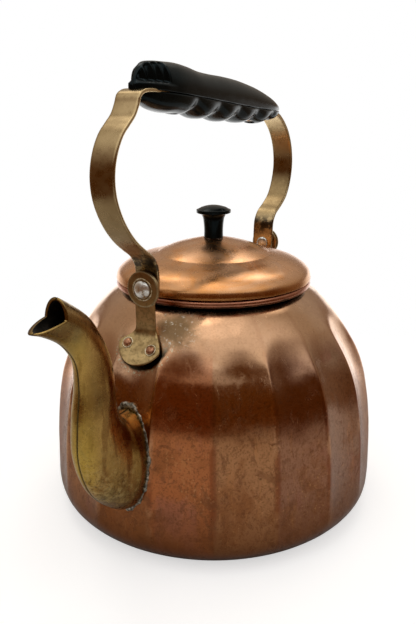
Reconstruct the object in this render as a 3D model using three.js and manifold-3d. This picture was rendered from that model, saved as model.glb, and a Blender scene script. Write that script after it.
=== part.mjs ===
// A stovetop kettle: a fluted copper pot, a brass spout soldered up from two stamped halves,
// a lift-off lid with a knob, and a brass bail handle that swings sideways on two rivets.
// Millimetres, +Z up, +X towards the spout. The origin is the middle of the flat base.
import * as THREE from "three";
import { mergeVertices } from "three/addons/utils/BufferGeometryUtils.js";
import Module from "manifold-3d";

const wasm = await Module();
wasm.setup();

// ---------------------------------------------------------------- driving dimensions
const GAP = 0.3; // clearance between pieces that touch
const HOLE_CLEARANCE = 0.3; // between a shank and the side of its hole

const BODY = {
  baseRadius: 69.5,
  cornerRadius: 15,
  wall: 1.5,
  flutes: 18,
  fluteTurn: -0.6, // degrees from the spout plane to the nearest flute's middle
  fluteDepth: 2.6,
  fluteFoot: 8, // height where the flutes have faded out
  fluteFull: 30, // height where they reach full depth
  ridgeTop: 97.3, // where the ridges run out into the shoulder
  archTop: 103.3, // top of each flute's arch
  mouthRadius: 45,
  mouthHeight: 113.6,
};
const PORT = { height: 50, halfHeight: 17, halfWidth: 8.5, fromX: 70, toX: 100 };

const COLLAR = {
  sleeveRadius: 44.6,
  sleeveWall: 1.1,
  foot: 106,
  beadCentre: 47.9,
  beadHeight: 115.5,
  beadRadius: 1.85,
};
const LID = { rimRadius: 49.8, rimHeight: 117.7, sheet: 1.0, crownRadius: 6, crownHeight: 137.0 };
const SKIRT = { radius: 43.1, wall: 1.0, foot: 108.5, top: 123.4 };
const KNOB = { stemRadius: 4.9, neckRadius: 5.9, capRadius: 8.7, top: 153.8, capRise: 2.2, brim: 1.8 };
const KNOB_SCREW = {
  shankRadius: 1.9,
  headRadius: 3.6,
  headHeight: 2.2,
  washerRadius: 6,
  washerHeight: 1,
  length: 12,
};

const PIVOT = {
  height: 124.6,
  shankRadius: 2.0,
  headRadius: 4.1,
  headHeight: 2.2,
  tailRadius: 3.4,
  tailHeight: 1.3,
  discRadius: 8.1,
  discHeight: 0.9,
};
const STRAP = { width: 12.1, thickness: 1.6, faceX: 59.6 };
const SPACER = { radius: 6.4, height: 0.5 };
const BRACKET = {
  thickness: 1.2,
  slope: 43, // degrees that the fan plate leans out from upright
  bendRadius: 6,
  lift: 0.45, // underside above the pot's shoulder
  touchX: 64.5,
  touchZ: 98.8,
  fanRadius: 11.85,
  fanBelow: 10, // from the touching point down to the lower edge
  fanTurn: 7, // degrees that the plate is turned in its own plane, its foot towards -Y
  rivetDrop: 1, // rivets below the touching point
  neckHalfWidth: 5.2,
  earRadius: 7.7,
  rivetSpread: 6.55,
};
const RIVET = { shankRadius: 1.2, headRadius: 1.95, headHeight: 1.2, gripInside: 3.4 };

const SPOUT = { wall: 1.2, sides: 20, stations: 24, halfGap: 0.15 };
const MOUTH = { hoodTop: [116.9, 134.3], notch: [117.7, 126.5], lipTip: [130.6, 124.0] };
const GRIP = { screwX: 38, screwHeadRadius: 2.8, screwHeadHeight: 2, screwRadius: 1.5 };

// ---------------------------------------------------------------- solids from three.js geometry
function manifold(geometry) {
  const bare = geometry.clone();
  bare.deleteAttribute("normal");
  bare.deleteAttribute("uv");
  const merged = mergeVertices(bare, 1e-4);
  return new wasm.Manifold(
    new wasm.Mesh({
      numProp: 3,
      vertProperties: new Float32Array(merged.attributes.position.array),
      triVerts: new Uint32Array(merged.index.array),
    }),
  );
}

function geometryOf(solid) {
  const mesh = solid.getMesh();
  const geometry = new THREE.BufferGeometry();
  geometry.setAttribute("position", new THREE.BufferAttribute(new Float32Array(mesh.vertProperties), 3));
  geometry.setIndex(new THREE.BufferAttribute(new Uint32Array(mesh.triVerts), 1));
  geometry.computeVertexNormals();
  return geometry;
}

// A solid through a row of rings with equal point counts. Each ring runs counterclockwise as
// seen from the end of the row, and the first and last are closed with a fan.
function loft(rings) {
  const count = rings[0].length;
  const points = rings.flat();
  const faces = [];
  for (let ring = 0; ring + 1 < rings.length; ring += 1) {
    for (let side = 0; side < count; side += 1) {
      const a = ring * count + side;
      const b = ring * count + ((side + 1) % count);
      faces.push(a, b, b + count, a, b + count, a + count);
    }
  }
  const close = (start, flip) => {
    const centre = new THREE.Vector3();
    for (let side = 0; side < count; side += 1) centre.addScaledVector(points[start + side], 1 / count);
    const hub = points.push(centre) - 1;
    for (let side = 0; side < count; side += 1) {
      const a = start + side;
      const b = start + ((side + 1) % count);
      faces.push(hub, flip ? b : a, flip ? a : b);
    }
  };
  close((rings.length - 1) * count, false);
  close(0, true);
  const geometry = new THREE.BufferGeometry().setFromPoints(points);
  geometry.setIndex(faces);
  return manifold(geometry);
}

// A solid of revolution about Z from [radius, height] points that run up its outside.
function revolve(outline, segments) {
  const profile = outline.map(([radius, height]) => new THREE.Vector2(radius, height));
  const geometry = new THREE.LatheGeometry(profile, segments);
  geometry.rotateX(Math.PI / 2);
  return manifold(geometry);
}

// A round bar from start to end.
function bar(radius, start, end, segments = 20) {
  const along = new THREE.Vector3().subVectors(end, start);
  const geometry = new THREE.CylinderGeometry(radius, radius, along.length(), segments);
  geometry.applyQuaternion(
    new THREE.Quaternion().setFromUnitVectors(new THREE.Vector3(0, 1, 0), along.clone().normalize()),
  );
  geometry.translate(...start.clone().add(end).multiplyScalar(0.5).toArray());
  return manifold(geometry);
}

// A solid of revolution about the line through base along direction, from [radius, height] points.
function turned(outline, base, direction, segments) {
  const profile = outline.map(([radius, height]) => new THREE.Vector2(radius, height));
  const geometry = new THREE.LatheGeometry(profile, segments);
  geometry.applyQuaternion(
    new THREE.Quaternion().setFromUnitVectors(new THREE.Vector3(0, 1, 0), direction.clone().normalize()),
  );
  geometry.translate(...base.toArray());
  return manifold(geometry);
}

// Outline of a low dome that stands on the plane at foot, from its edge to the axis.
function domeOutline(radius, height, foot, steps) {
  const outline = [];
  for (let step = 0; step < steps; step += 1) {
    const turn = (step / steps) * (Math.PI / 2);
    outline.push([radius * Math.cos(turn), foot + height * Math.sin(turn)]);
  }
  outline.push([0, foot + height]);
  return outline;
}

const point = (x, y, z) => new THREE.Vector3(x, y, z);
const degrees = THREE.MathUtils.degToRad;
const smooth = (value, low, high) => THREE.MathUtils.smoothstep(value, low, high);

// ---------------------------------------------------------------- the pot
// Radius of the ridges against height, and of the plain shoulder that the flutes die into.
const ridgeCurve = [[15, 84.7], [29, 84.4], [43.4, 83.6], [57.9, 81.8], [72.3, 78.8], [82.7, 74.8],
  [90.9, 70.1], [97.3, 65.8], [103.3, 61.6], [113.6, 53.5]];
const shoulderCurve = [[72.3, 84.5], [82.7, 77.2], [90.9, 71], [97.3, 65.8], [103.3, 60.3], [108.8, 54],
  [112.6, 47.6], [113.6, 45.5]];

function along(curve, height) {
  if (height <= curve[0][0]) return curve[0][1];
  const last = curve.length - 1;
  for (let i = 0; i < last; i += 1) {
    const [low, radiusLow] = curve[i];
    const [high, radiusHigh] = curve[i + 1];
    if (height <= high) return THREE.MathUtils.mapLinear(height, low, high, radiusLow, radiusHigh);
  }
  return curve[last][1];
}

// Outside radius of the pot at a height and an angle; angle 0 is the spout plane.
function potRadius(height, angle) {
  if (height < BODY.cornerRadius) {
    const up = BODY.cornerRadius - height;
    const out = Math.sqrt(BODY.cornerRadius ** 2 - up ** 2);
    const wallRadius = along(ridgeCurve, BODY.cornerRadius);
    const corner = BODY.baseRadius + (wallRadius - BODY.baseRadius) * (out / BODY.cornerRadius);
    return corner - fluteDrop(height, angle);
  }
  return Math.min(along(shoulderCurve, height), along(ridgeCurve, height) - fluteDrop(height, angle));
}

function fluteDrop(height, angle) {
  const pitch = 360 / BODY.flutes;
  const turned = THREE.MathUtils.euclideanModulo(angle - BODY.fluteTurn + pitch / 2, pitch) - pitch / 2;
  const across = turned / (pitch / 2);
  const foot = smooth(height, BODY.fluteFoot, BODY.fluteFull);
  const head = 1 - 0.5 * smooth(height, BODY.ridgeTop - 10, BODY.archTop);
  return BODY.fluteDepth * foot * head * (1 - across * across);
}

function potRing(height, grow, segments) {
  const ring = [];
  for (let i = 0; i < segments; i += 1) {
    const angle = (i * 360) / segments + BODY.fluteTurn;
    const radius = potRadius(height, angle) + grow;
    ring.push(point(radius * Math.cos(degrees(angle)), radius * Math.sin(degrees(angle)), height));
  }
  return ring;
}

// Heights of the pot's rings: close together at the base corner and where the arches end.
const POT_HEIGHTS = [0, 1.2, 4.4, 9, 15, 22, 30, 43, 58, 70, 80, 88, 93, 97.3, 100, 103.3, 107, 110.5,
  BODY.mouthHeight];
const OUTER_SEGMENTS = BODY.flutes * 4;
const INNER_SEGMENTS = BODY.flutes * 2;

function potOutside(grow) {
  return loft(POT_HEIGHTS.map((height) => potRing(height, grow, OUTER_SEGMENTS)));
}

function potInside() {
  const heights = POT_HEIGHTS.filter((height, i) => i % 2 === 0 && height < 110);
  const rings = heights.map((height) => potRing(height, -BODY.wall, INNER_SEGMENTS));
  rings[0].forEach((corner) => corner.setZ(BODY.wall));
  const throat = (height) => {
    const ring = [];
    for (let i = 0; i < INNER_SEGMENTS; i += 1) {
      const angle = degrees((i * 360) / INNER_SEGMENTS + BODY.fluteTurn);
      ring.push(point(BODY.mouthRadius * Math.cos(angle), BODY.mouthRadius * Math.sin(angle), height));
    }
    return ring;
  };
  rings.push(throat(BODY.mouthHeight - BODY.wall), throat(BODY.mouthHeight + 2));
  return loft(rings);
}

function spoutPort() {
  const oval = new THREE.Shape();
  oval.absellipse(0, 0, PORT.halfWidth, PORT.halfHeight, 0, Math.PI * 2);
  const depth = PORT.toX - PORT.fromX;
  const geometry = new THREE.ExtrudeGeometry(oval, { depth, bevelEnabled: false, curveSegments: 14 });
  geometry.rotateX(Math.PI / 2);
  geometry.rotateZ(Math.PI / 2);
  geometry.translate(PORT.fromX, 0, PORT.height);
  return manifold(geometry);
}

function makeBody() {
  let pot = potOutside(0).subtract(potInside()).subtract(spoutPort());
  for (const end of ENDS) {
    for (const side of [-1, 1]) pot = pot.subtract(turnedHalf(rivetHole(side, -10, 0), end));
  }
  return pot;
}

// The rolled ring round the mouth: a sleeve inside the pot's neck with a bead on top.
function makeCollar() {
  const { sleeveRadius, sleeveWall, foot, beadCentre, beadHeight, beadRadius } = COLLAR;
  const inner = sleeveRadius - sleeveWall;
  const outline = [[inner, foot], [sleeveRadius, foot], [sleeveRadius, beadHeight - beadRadius + 0.5]];
  for (const turn of [-110, -65, -20, 20, 65, 100].map(degrees)) {
    outline.push([beadCentre + beadRadius * Math.cos(turn), beadHeight + beadRadius * Math.sin(turn)]);
  }
  outline.push([inner, beadHeight + 1.2], [inner, foot]);
  return revolve(outline, 48);
}

// ---------------------------------------------------------------- the lid
// The dome's outline, [radius, height] from the rim to the crown.
const lidOutside = [[LID.rimRadius, LID.rimHeight], [49.6, 119.4], [49.1, 120.9], [48.3, 122.1], [47, 123.3],
  [45.2, 124.6], [43, 125.8], [38, 127.6], [33, 128.9], [28.5, 130.3], [20, 133.7], [12, 135.9],
  [LID.crownRadius, LID.crownHeight], [0, LID.crownHeight]];
const lidInside = [[LID.rimRadius - LID.sheet, LID.rimHeight], [48.6, 119.2], [48, 120.7], [46.2, 122.6],
  [42.5, 124.9], [38, 126.5], [28, 129.3], [20, 132.6], [12, 134.8],
  [LID.crownRadius, LID.crownHeight - LID.sheet]];

function makeLidDome() {
  const hole = KNOB_SCREW.shankRadius + HOLE_CLEARANCE;
  const outline = lidOutside.slice(0, -1);
  outline.push([hole, LID.crownHeight], [hole, LID.crownHeight - LID.sheet], ...lidInside.toReversed());
  outline.push(lidOutside[0]);
  return revolve(outline, 48);
}

function makeLidSkirt() {
  const { radius, wall, foot, top } = SKIRT;
  const inner = radius - wall;
  const outside = [[radius - 0.4, foot], [radius, foot + 1.2], [radius, top]];
  return revolve([[inner, foot], ...outside, [inner, top], [inner, foot]], 48);
}

function makeKnob() {
  const { stemRadius, neckRadius, capRadius, capRise, brim, top } = KNOB;
  const foot = LID.crownHeight + GAP;
  const brimTop = top - capRise;
  const brimFoot = brimTop - brim;
  const bore = KNOB_SCREW.shankRadius + HOLE_CLEARANCE;
  const boreTop = foot + KNOB_SCREW.length - 1;
  const stem = [[bore, foot], [stemRadius, foot], [stemRadius, foot + 5], [stemRadius + 0.4, foot + 8]];
  const cap = [[neckRadius, brimFoot - 1.2], [neckRadius + 0.9, brimFoot - 0.3], [capRadius - 0.5, brimFoot],
    [capRadius, brimFoot + 0.5], [capRadius, brimTop - 0.5], [capRadius - 0.5, brimTop],
    [capRadius * 0.68, top - capRise * 0.5], [capRadius * 0.35, top - capRise * 0.1]];
  return revolve([[0, boreTop], [bore, boreTop], ...stem, ...cap, [0, top]], 28);
}

function makeKnobScrew() {
  const headTop = LID.crownHeight - LID.sheet - 2 * GAP - KNOB_SCREW.washerHeight;
  const headFoot = headTop - KNOB_SCREW.headHeight;
  const tip = LID.crownHeight + GAP + KNOB_SCREW.length - 2;
  const { shankRadius, headRadius } = KNOB_SCREW;
  const head = [[headRadius - 1, headFoot], [headRadius, headTop - 0.8], [headRadius, headTop]];
  const shank = [[shankRadius, headTop], [shankRadius, tip - 1], [shankRadius - 0.7, tip]];
  return revolve([[0, headFoot], ...head, ...shank, [0, tip]], 20);
}

function ringBetween(inner, outer, foot, top, segments) {
  return revolve([[inner, foot], [outer, foot], [outer, top], [inner, top], [inner, foot]], segments);
}

function makeKnobWasher() {
  const { shankRadius, washerRadius, washerHeight } = KNOB_SCREW;
  const top = LID.crownHeight - LID.sheet - GAP;
  return ringBetween(shankRadius + HOLE_CLEARANCE, washerRadius, top - washerHeight, top, 24);
}

// ---------------------------------------------------------------- the spout
// Stations from the pot to the lip: the front seam, the back seam (x, z), the half width.
const spoutStations = [
  { front: [69, 26.9], back: [69, 73.5], half: 13 },
  { front: [77, 27], back: [77, 73.5], half: 13 },
  { front: [84.5, 27.2], back: [84.5, 73.5], half: 13 },
  { front: [94, 33.2], back: [86, 75], half: 11.2 },
  { front: [105.5, 46.5], back: [87.3, 78], half: 9.8 },
  { front: [111, 63], back: [88.6, 83.5], half: 8.8 },
  { front: [110.3, 78], back: [89, 91], half: 8.2 },
  { front: [108, 94], back: [89.5, 99.5], half: 7.2 },
  { front: [109, 105.5], back: [93, 111], half: 5.9 },
  { front: [115.5, 114.8], back: [100.5, 122.4], half: 5.3 },
  { front: [125, 121.2], back: [111.8, 131.4], half: 5.6 },
  { front: [134.5, 125.2], back: [122, 137.5], half: 5.9 },
];

function spoutCurves() {
  const curve = (pick) => new THREE.CatmullRomCurve3(spoutStations.map(pick), false, "centripetal");
  const front = curve(({ front: [x, z] }) => point(x, 0, z));
  const back = curve(({ back: [x, z] }) => point(x, 0, z));
  const halfWidth = (u) => {
    const place = u * (spoutStations.length - 1);
    const i = Math.min(Math.floor(place), spoutStations.length - 2);
    return THREE.MathUtils.lerp(spoutStations[i].half, spoutStations[i + 1].half, place - i);
  };
  return { front, back, halfWidth };
}

function spoutTube(inset) {
  const { front, back, halfWidth } = spoutCurves();
  const rings = [];
  for (let station = 0; station <= SPOUT.stations; station += 1) {
    const u = station / SPOUT.stations;
    const fore = front.getPoint(u);
    const aft = back.getPoint(u);
    const centre = fore.clone().add(aft).multiplyScalar(0.5);
    const reach = fore.clone().sub(centre);
    reach.setLength(reach.length() - inset);
    const wide = halfWidth(u) - inset;
    const ring = [];
    for (let side = 0; side < SPOUT.sides; side += 1) {
      const turn = (side / SPOUT.sides) * Math.PI * 2;
      const sideways = point(0, wide * Math.sin(turn), 0);
      ring.push(centre.clone().addScaledVector(reach, Math.cos(turn)).add(sideways));
    }
    rings.push(ring);
  }
  if (inset > 0) {
    const shift = (ring, dx, dz) => ring.map((corner) => corner.clone().add(point(dx, 0, dz)));
    rings.unshift(shift(rings[0], -3, 0));
    rings.push(shift(rings[rings.length - 1], 3, 1.5));
  }
  return loft(rings);
}

// What the mouth's two cuts take away: all that lies ahead of the hood and above the lip.
function mouthCut() {
  const [hoodX, hoodZ] = MOUTH.hoodTop;
  const [notchX, notchZ] = MOUTH.notch;
  const [tipX, tipZ] = MOUTH.lipTip;
  const far = 160; // well past the lip and the hood
  const wide = 40; // well past both sides
  const lipDrop = (notchZ - tipZ) / (tipX - notchX);
  const hoodLean = (notchX - hoodX) / (hoodZ - notchZ);
  const outline = new THREE.Shape([
    new THREE.Vector2(notchX, notchZ),
    new THREE.Vector2(far, notchZ - lipDrop * (far - notchX)),
    new THREE.Vector2(far, far),
    new THREE.Vector2(notchX - hoodLean * (far - notchZ), far),
  ]);
  const geometry = new THREE.ExtrudeGeometry(outline, { depth: wide, bevelEnabled: false });
  geometry.translate(0, 0, -wide / 2);
  geometry.rotateX(Math.PI / 2);
  return manifold(geometry);
}

function makeSpoutHalves() {
  const shell = spoutTube(0).subtract(spoutTube(SPOUT.wall)).subtract(mouthCut()).subtract(potOutside(GAP));
  const sideBox = new THREE.BoxGeometry(200, 50, 200);
  sideBox.translate(100, 25 + SPOUT.halfGap, 100);
  const mirrored = sideBox.clone();
  mirrored.translate(0, -50 - 2 * SPOUT.halfGap, 0);
  return { left: shell.intersect(manifold(sideBox)), right: shell.intersect(manifold(mirrored)) };
}

// ---------------------------------------------------------------- brackets and pivots
// The front end faces +X and the rear end is the same set turned half round about Z.
const ENDS = [
  { name: "front", turn: 0 },
  { name: "rear", turn: Math.PI },
];

function turnedHalf(solid, end) {
  return solid.rotate([0, 0, THREE.MathUtils.radToDeg(end.turn)]);
}

const earX = STRAP.faceX + GAP + SPACER.height + GAP;
const discX = earX + BRACKET.thickness + GAP;
const headX = discX + PIVOT.discHeight + GAP;

const lean = degrees(BRACKET.slope);
const slopeUp = point(-Math.sin(lean), 0, Math.cos(lean));
const slopeOut = point(Math.cos(lean), 0, Math.sin(lean));
const touching = point(BRACKET.touchX, 0, BRACKET.touchZ);
const fanPlane = touching.clone().addScaledVector(slopeOut, BRACKET.lift + BRACKET.thickness / 2);

// The middle of the bracket's sheet meets the upright neck's at corner; the bend takes cut off both.
const bracketX = earX + BRACKET.thickness / 2;
const toCorner = (fanPlane.x - bracketX) / Math.sin(lean);
const corner = fanPlane.clone().addScaledVector(slopeUp, toCorner);
const cut = BRACKET.bendRadius * Math.tan(lean / 2);
const bendFoot = corner.clone().addScaledVector(slopeUp, -cut);

// Where a point of the straight fan plate goes when the plate is turned in its own plane.
function fanTurned(spot) {
  return spot.clone().sub(bendFoot).applyAxisAngle(slopeOut, -degrees(BRACKET.fanTurn)).add(bendFoot);
}

function rivetSeat(side) {
  const seat = fanPlane.clone().addScaledVector(slopeUp, -BRACKET.rivetDrop);
  return fanTurned(seat.add(point(0, side * BRACKET.rivetSpread, 0)));
}

// The bracket is one strip of sheet: a fan plate on the shoulder, a bend, a neck and a round ear.
function makeBracket(end) {
  const { thickness, fanRadius, fanBelow, neckHalfWidth, earRadius, bendRadius } = BRACKET;
  const rings = [];
  const addRing = (middle, out, halfWidth, turned = (spot) => spot) => {
    const thick = out.clone().multiplyScalar(thickness / 2);
    const wide = point(0, halfWidth, 0);
    const corners = [
      middle.clone().add(thick).sub(wide),
      middle.clone().add(thick).add(wide),
      middle.clone().sub(thick).add(wide),
      middle.clone().sub(thick).sub(wide),
    ];
    rings.push(corners.map(turned));
  };
  const fanMiddle = fanPlane.clone().addScaledVector(slopeUp, fanRadius - fanBelow);
  for (const turn of [10, 25, 45, 70, 90].map(degrees)) {
    const middle = fanMiddle.clone().addScaledVector(slopeUp, -fanRadius * Math.cos(turn));
    addRing(middle, slopeOut, fanRadius * Math.sin(turn), fanTurned);
  }
  const aboveMiddle = bendFoot.distanceTo(fanMiddle);
  addRing(bendFoot, slopeOut, Math.sqrt(fanRadius ** 2 - aboveMiddle ** 2), fanTurned);
  const bendCentre = bendFoot.clone().addScaledVector(slopeOut, bendRadius);
  for (const share of [0.5, 1]) {
    const turn = lean * (1 - share);
    const out = point(Math.cos(turn), 0, Math.sin(turn));
    const halfWidth = THREE.MathUtils.lerp(fanRadius, neckHalfWidth, share);
    addRing(bendCentre.clone().addScaledVector(out, -bendRadius), out, halfWidth);
  }
  const earJoin = -Math.asin(Math.sqrt(earRadius ** 2 - neckHalfWidth ** 2) / earRadius);
  for (const turn of [earJoin, ...[-25, 0, 30, 55, 80].map(degrees)]) {
    const height = PIVOT.height + earRadius * Math.sin(turn);
    addRing(point(bracketX, 0, height), point(1, 0, 0), earRadius * Math.cos(turn));
  }
  let plate = loft(rings).subtract(pivotHole(earX - 1, earX + thickness + 1));
  for (const side of [-1, 1]) plate = plate.subtract(rivetHole(side, -2, 2));
  return turnedHalf(plate, end);
}

// A rivet hole across the fan plate, between two distances from the middle of its sheet.
function rivetHole(side, from, to) {
  const seat = rivetSeat(side);
  const along = (distance) => seat.clone().addScaledVector(slopeOut, distance);
  return bar(RIVET.shankRadius + HOLE_CLEARANCE, along(from), along(to), 10);
}

function pivotHole(fromX, toX) {
  const radius = PIVOT.shankRadius + HOLE_CLEARANCE;
  return bar(radius, point(fromX, 0, PIVOT.height), point(toX, 0, PIVOT.height), 16);
}

// A rivet through the fan plate and the pot's wall: a dome outside and a flat upset end inside.
function makeBracketRivet(end, side) {
  const seat = BRACKET.thickness / 2 + GAP;
  const inside = -(BRACKET.thickness / 2 + BRACKET.lift + BODY.wall + RIVET.gripInside);
  const { shankRadius, headRadius, headHeight } = RIVET;
  const upset = [[0, inside - headHeight], [headRadius, inside - headHeight], [headRadius, inside]];
  const shank = [[shankRadius, inside], [shankRadius, seat]];
  const outline = [...upset, ...shank, ...domeOutline(headRadius, headHeight, seat, 5)];
  return turnedHalf(turned(outline, rivetSeat(end.turn === 0 ? side : -side), slopeOut, 12), end);
}

function makePivotRivet(end) {
  const { shankRadius, headRadius, headHeight, tailRadius, tailHeight } = PIVOT;
  const start = STRAP.faceX - STRAP.thickness - GAP;
  const tail = domeOutline(tailRadius, -tailHeight, start, 4).toReversed();
  const shank = [[shankRadius, start], [shankRadius, headX]];
  const outline = [...tail, ...shank, ...domeOutline(headRadius, headHeight, headX, 5)];
  return turnedHalf(turned(outline, point(0, 0, PIVOT.height), point(1, 0, 0), 20), end);
}

function makeFlatRing(end, fromX, height, radius) {
  const centre = (x) => point(x, 0, PIVOT.height);
  const disc = bar(radius, centre(fromX), centre(fromX + height), 28);
  return turnedHalf(disc.subtract(pivotHole(fromX - 1, fromX + height + 1)), end);
}

// ---------------------------------------------------------------- the handle
// Middle of the strap's thickness (x, z), from the front pivot over the grip to the rear pivot.
const strapX = STRAP.faceX - STRAP.thickness / 2;
const strapPath = [
  [strapX, PIVOT.height], [strapX, 130.5], [59.6, 134.8], [62.6, 139.2], [67.9, 143], [73.8, 147.6],
  [79.2, 153.4], [83.5, 160], [86.2, 166.6], [87.1, 173.5], [86.3, 179.6], [84, 185.6], [80.4, 190.9],
  [76, 194.7], [72.2, 198], [69.6, 202], [68, 205.2], [65, 206.8], [60, 207.3], [53, 207], [45, 206.3],
  [27, 204.8], [10, 203.4], [-10, 201.7], [-32, 200], [-54, 198.7], [-64, 196.4], [-71.4, 192.3],
  [-78, 186.2], [-82.8, 177.4], [-84.2, 167.5], [-82, 158.2], [-77, 150.1], [-70.3, 145.4], [-63, 141.4],
  [-59.7, 137], [-strapX, 130.5], [-strapX, PIVOT.height],
];

function strapCurve() {
  return new THREE.CatmullRomCurve3(strapPath.map(([x, z]) => point(x, 0, z)), false, "centripetal");
}

function strapRings(grow) {
  const rings = [];
  const half = STRAP.width / 2;
  const addRing = (middle, tangent, halfWidth) => {
    const out = point(tangent.z, 0, -tangent.x).setLength(STRAP.thickness / 2 + grow);
    const wide = point(0, halfWidth + grow, 0);
    rings.push([
      middle.clone().add(out).sub(wide),
      middle.clone().add(out).add(wide),
      middle.clone().sub(out).add(wide),
      middle.clone().sub(out).sub(wide),
    ]);
  };
  const roundEnd = [0.995, 0.9, 0.7, 0.4];
  const up = point(0, 0, 1);
  const endPoint = (side, share) => point(side * strapX, 0, PIVOT.height - half * share);
  const endHalfWidth = (share) => half * Math.sqrt(1 - share * share);
  for (const share of roundEnd) {
    addRing(endPoint(1, share), up, endHalfWidth(share));
  }
  const curve = strapCurve();
  const steps = 62;
  for (let step = 0; step <= steps; step += 1) {
    addRing(curve.getPointAt(step / steps), curve.getTangentAt(step / steps), half);
  }
  for (const share of roundEnd.toReversed()) {
    addRing(endPoint(-1, share), up.clone().negate(), endHalfWidth(share));
  }
  return rings;
}

function screwHole(side, radius) {
  const { x, z } = screwPlace(side);
  return bar(radius, point(x, 0, z - 20), point(x, 0, z + 20), 12);
}

function screwPlace(side) {
  const x = side * GRIP.screwX;
  return { x, z: seamHeight(x) };
}

function makeStrap() {
  let strap = loft(strapRings(0));
  strap = strap.subtract(pivotHole(strapX - 3, strapX + 3)).subtract(pivotHole(-strapX - 3, -strapX + 3));
  for (const side of [1, -1]) strap = strap.subtract(screwHole(side, GRIP.screwRadius + HOLE_CLEARANCE));
  return strap;
}

// The grip's outline along X: the seam, the top and the underside as heights, and the half width.
const gripTop = [[65.4, 209.6], [64.4, 211.6], [62.4, 214.6], [60, 217], [56.5, 218.5], [50, 219], [38, 219],
  [30, 217.9], [22, 216.5], [12, 215.8], [0, 215.3], [-15, 214], [-26, 212.6], [-38, 210.4], [-52, 207],
  [-65, 202.9], [-73, 199.8]];
const gripUnder = [[65.4, 205.9], [60.5, 202.4], [54, 199.9], [47, 198.5], [40, 198], [20, 196.9], [0, 195.5],
  [-20, 194.2], [-42, 192.9], [-54, 192.9], [-64, 194.8], [-73, 197.6]];
const gripHalfWidth = [[65.4, 0.9], [64.9, 2], [63.6, 3.4], [61.4, 4.9], [58.4, 6.2], [54.5, 7.3], [50, 8.3],
  [42, 9.3], [30, 9.6], [10, 9.7], [-20, 9.4], [-48, 8.7], [-56, 7.8], [-62.5, 6.2], [-67, 4.6], [-70.5, 3],
  [-73, 1.4]];
const gripSeam = [[66, 207.5], [60, 207.3], [53, 207], [45, 206.3], [27, 204.8], [10, 203.4], [-10, 201.7],
  [-32, 200], [-54, 198.9], [-64, 198.6], [-73, 198.5]];
const FINGER = { first: 18.5, pitch: 20.3, bumps: 4, depth: 1.0 };
const GRIP_STATIONS = [65.4, 64.9, 63.6, 61.4, 58.4, 54.5, 50, 44, 38, 33, 28, 23.5, 18.5, 13.4, 8.4, 3.3,
  -1.8, -6.9, -12, -17, -22, -27, -32.4, -37.4, -42.4, -48, -54, -59, -62.5, -67, -70.5, -73];

function sampled(table, x) {
  const rising = [...table].sort((a, b) => a[0] - b[0]);
  return along(rising, x);
}

const seamHeight = (x) => sampled(gripSeam, x);

function fingerScallop(x) {
  const last = FINGER.first - FINGER.pitch * (FINGER.bumps - 1);
  const fadeIn = smooth(x, last - FINGER.pitch, last);
  const fadeOut = 1 - smooth(x, FINGER.first, FINGER.first + FINGER.pitch);
  const wave = Math.cos((2 * Math.PI * (x - FINGER.first)) / FINGER.pitch);
  return FINGER.depth * fadeIn * fadeOut * (0.5 - 0.5 * wave);
}

// One half of the grip as a row of half-round rings along -X.
function makeGripHalf(isUpper) {
  const arcSteps = 8;
  const rings = GRIP_STATIONS.map((x) => {
    const seam = seamHeight(x) + (isUpper ? GAP / 2 : -GAP / 2);
    const far = isUpper ? sampled(gripTop, x) : sampled(gripUnder, x) + fingerScallop(x);
    const wide = sampled(gripHalfWidth, x) - (isUpper ? 0 : 0.35 * fingerScallop(x));
    const ring = [];
    for (let step = 0; step <= arcSteps; step += 1) {
      const turn = (step / arcSteps) * Math.PI;
      const lift = Math.sign(Math.sin(turn)) * Math.abs(Math.sin(turn)) ** 0.8;
      const y = wide * Math.sign(Math.cos(turn)) * Math.abs(Math.cos(turn)) ** 0.9;
      ring.push(point(x, isUpper ? -y : y, seam + (far - seam) * lift));
    }
    return ring;
  });
  let half = loft(rings).subtract(loft(strapRings(GAP)));
  for (const side of [1, -1]) {
    half = half.subtract(screwBore(side, isUpper));
  }
  return half;
}

// The lower half is bored right through with a seat for the head; the upper bore is blind.
function screwBore(side, isUpper) {
  const { x, z } = screwPlace(side);
  const radius = GRIP.screwRadius + HOLE_CLEARANCE;
  if (isUpper) return bar(radius, point(x, 0, z - 5), point(x, 0, z + 7.5), 12);
  const seat = screwHeadTop(side) + GAP;
  const through = bar(radius, point(x, 0, z - 20), point(x, 0, z + 5), 12);
  return through.add(bar(GRIP.screwHeadRadius + HOLE_CLEARANCE, point(x, 0, z - 20), point(x, 0, seat), 16));
}

function screwHeadTop(side) {
  const x = side * GRIP.screwX;
  return sampled(gripUnder, x) + fingerScallop(x) + GRIP.screwHeadHeight + 0.6;
}

function makeGripScrew(side) {
  const { x, z } = screwPlace(side);
  const top = screwHeadTop(side);
  const shank = bar(GRIP.screwRadius, point(x, 0, top - 0.5), point(x, 0, z + 7), 12);
  return shank.add(bar(GRIP.screwHeadRadius, point(x, 0, top - GRIP.screwHeadHeight), point(x, 0, top), 16));
}

// ---------------------------------------------------------------- materials and assembly
function finish(color, roughness, metalness) {
  return new THREE.MeshStandardMaterial({ color, roughness, metalness });
}

const COPPER = () => finish(0xa8643e, 0.38, 1);
const LID_COPPER = () => finish(0xc08458, 0.32, 1);
const BRASS = () => finish(0x8a7336, 0.42, 1);
const DARK_BRASS = () => finish(0x6b5a38, 0.45, 1);
const STEEL = () => finish(0xc9c6bd, 0.35, 1);
const BAKELITE = () => finish(0x0d0c0c, 0.3, 0);

const kettle = new THREE.Group();
const lid = new THREE.Group();
const handle = new THREE.Group();

function place(parent, name, solid, material) {
  const mesh = new THREE.Mesh(geometryOf(solid), material);
  mesh.name = name;
  parent.add(mesh);
}

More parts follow.
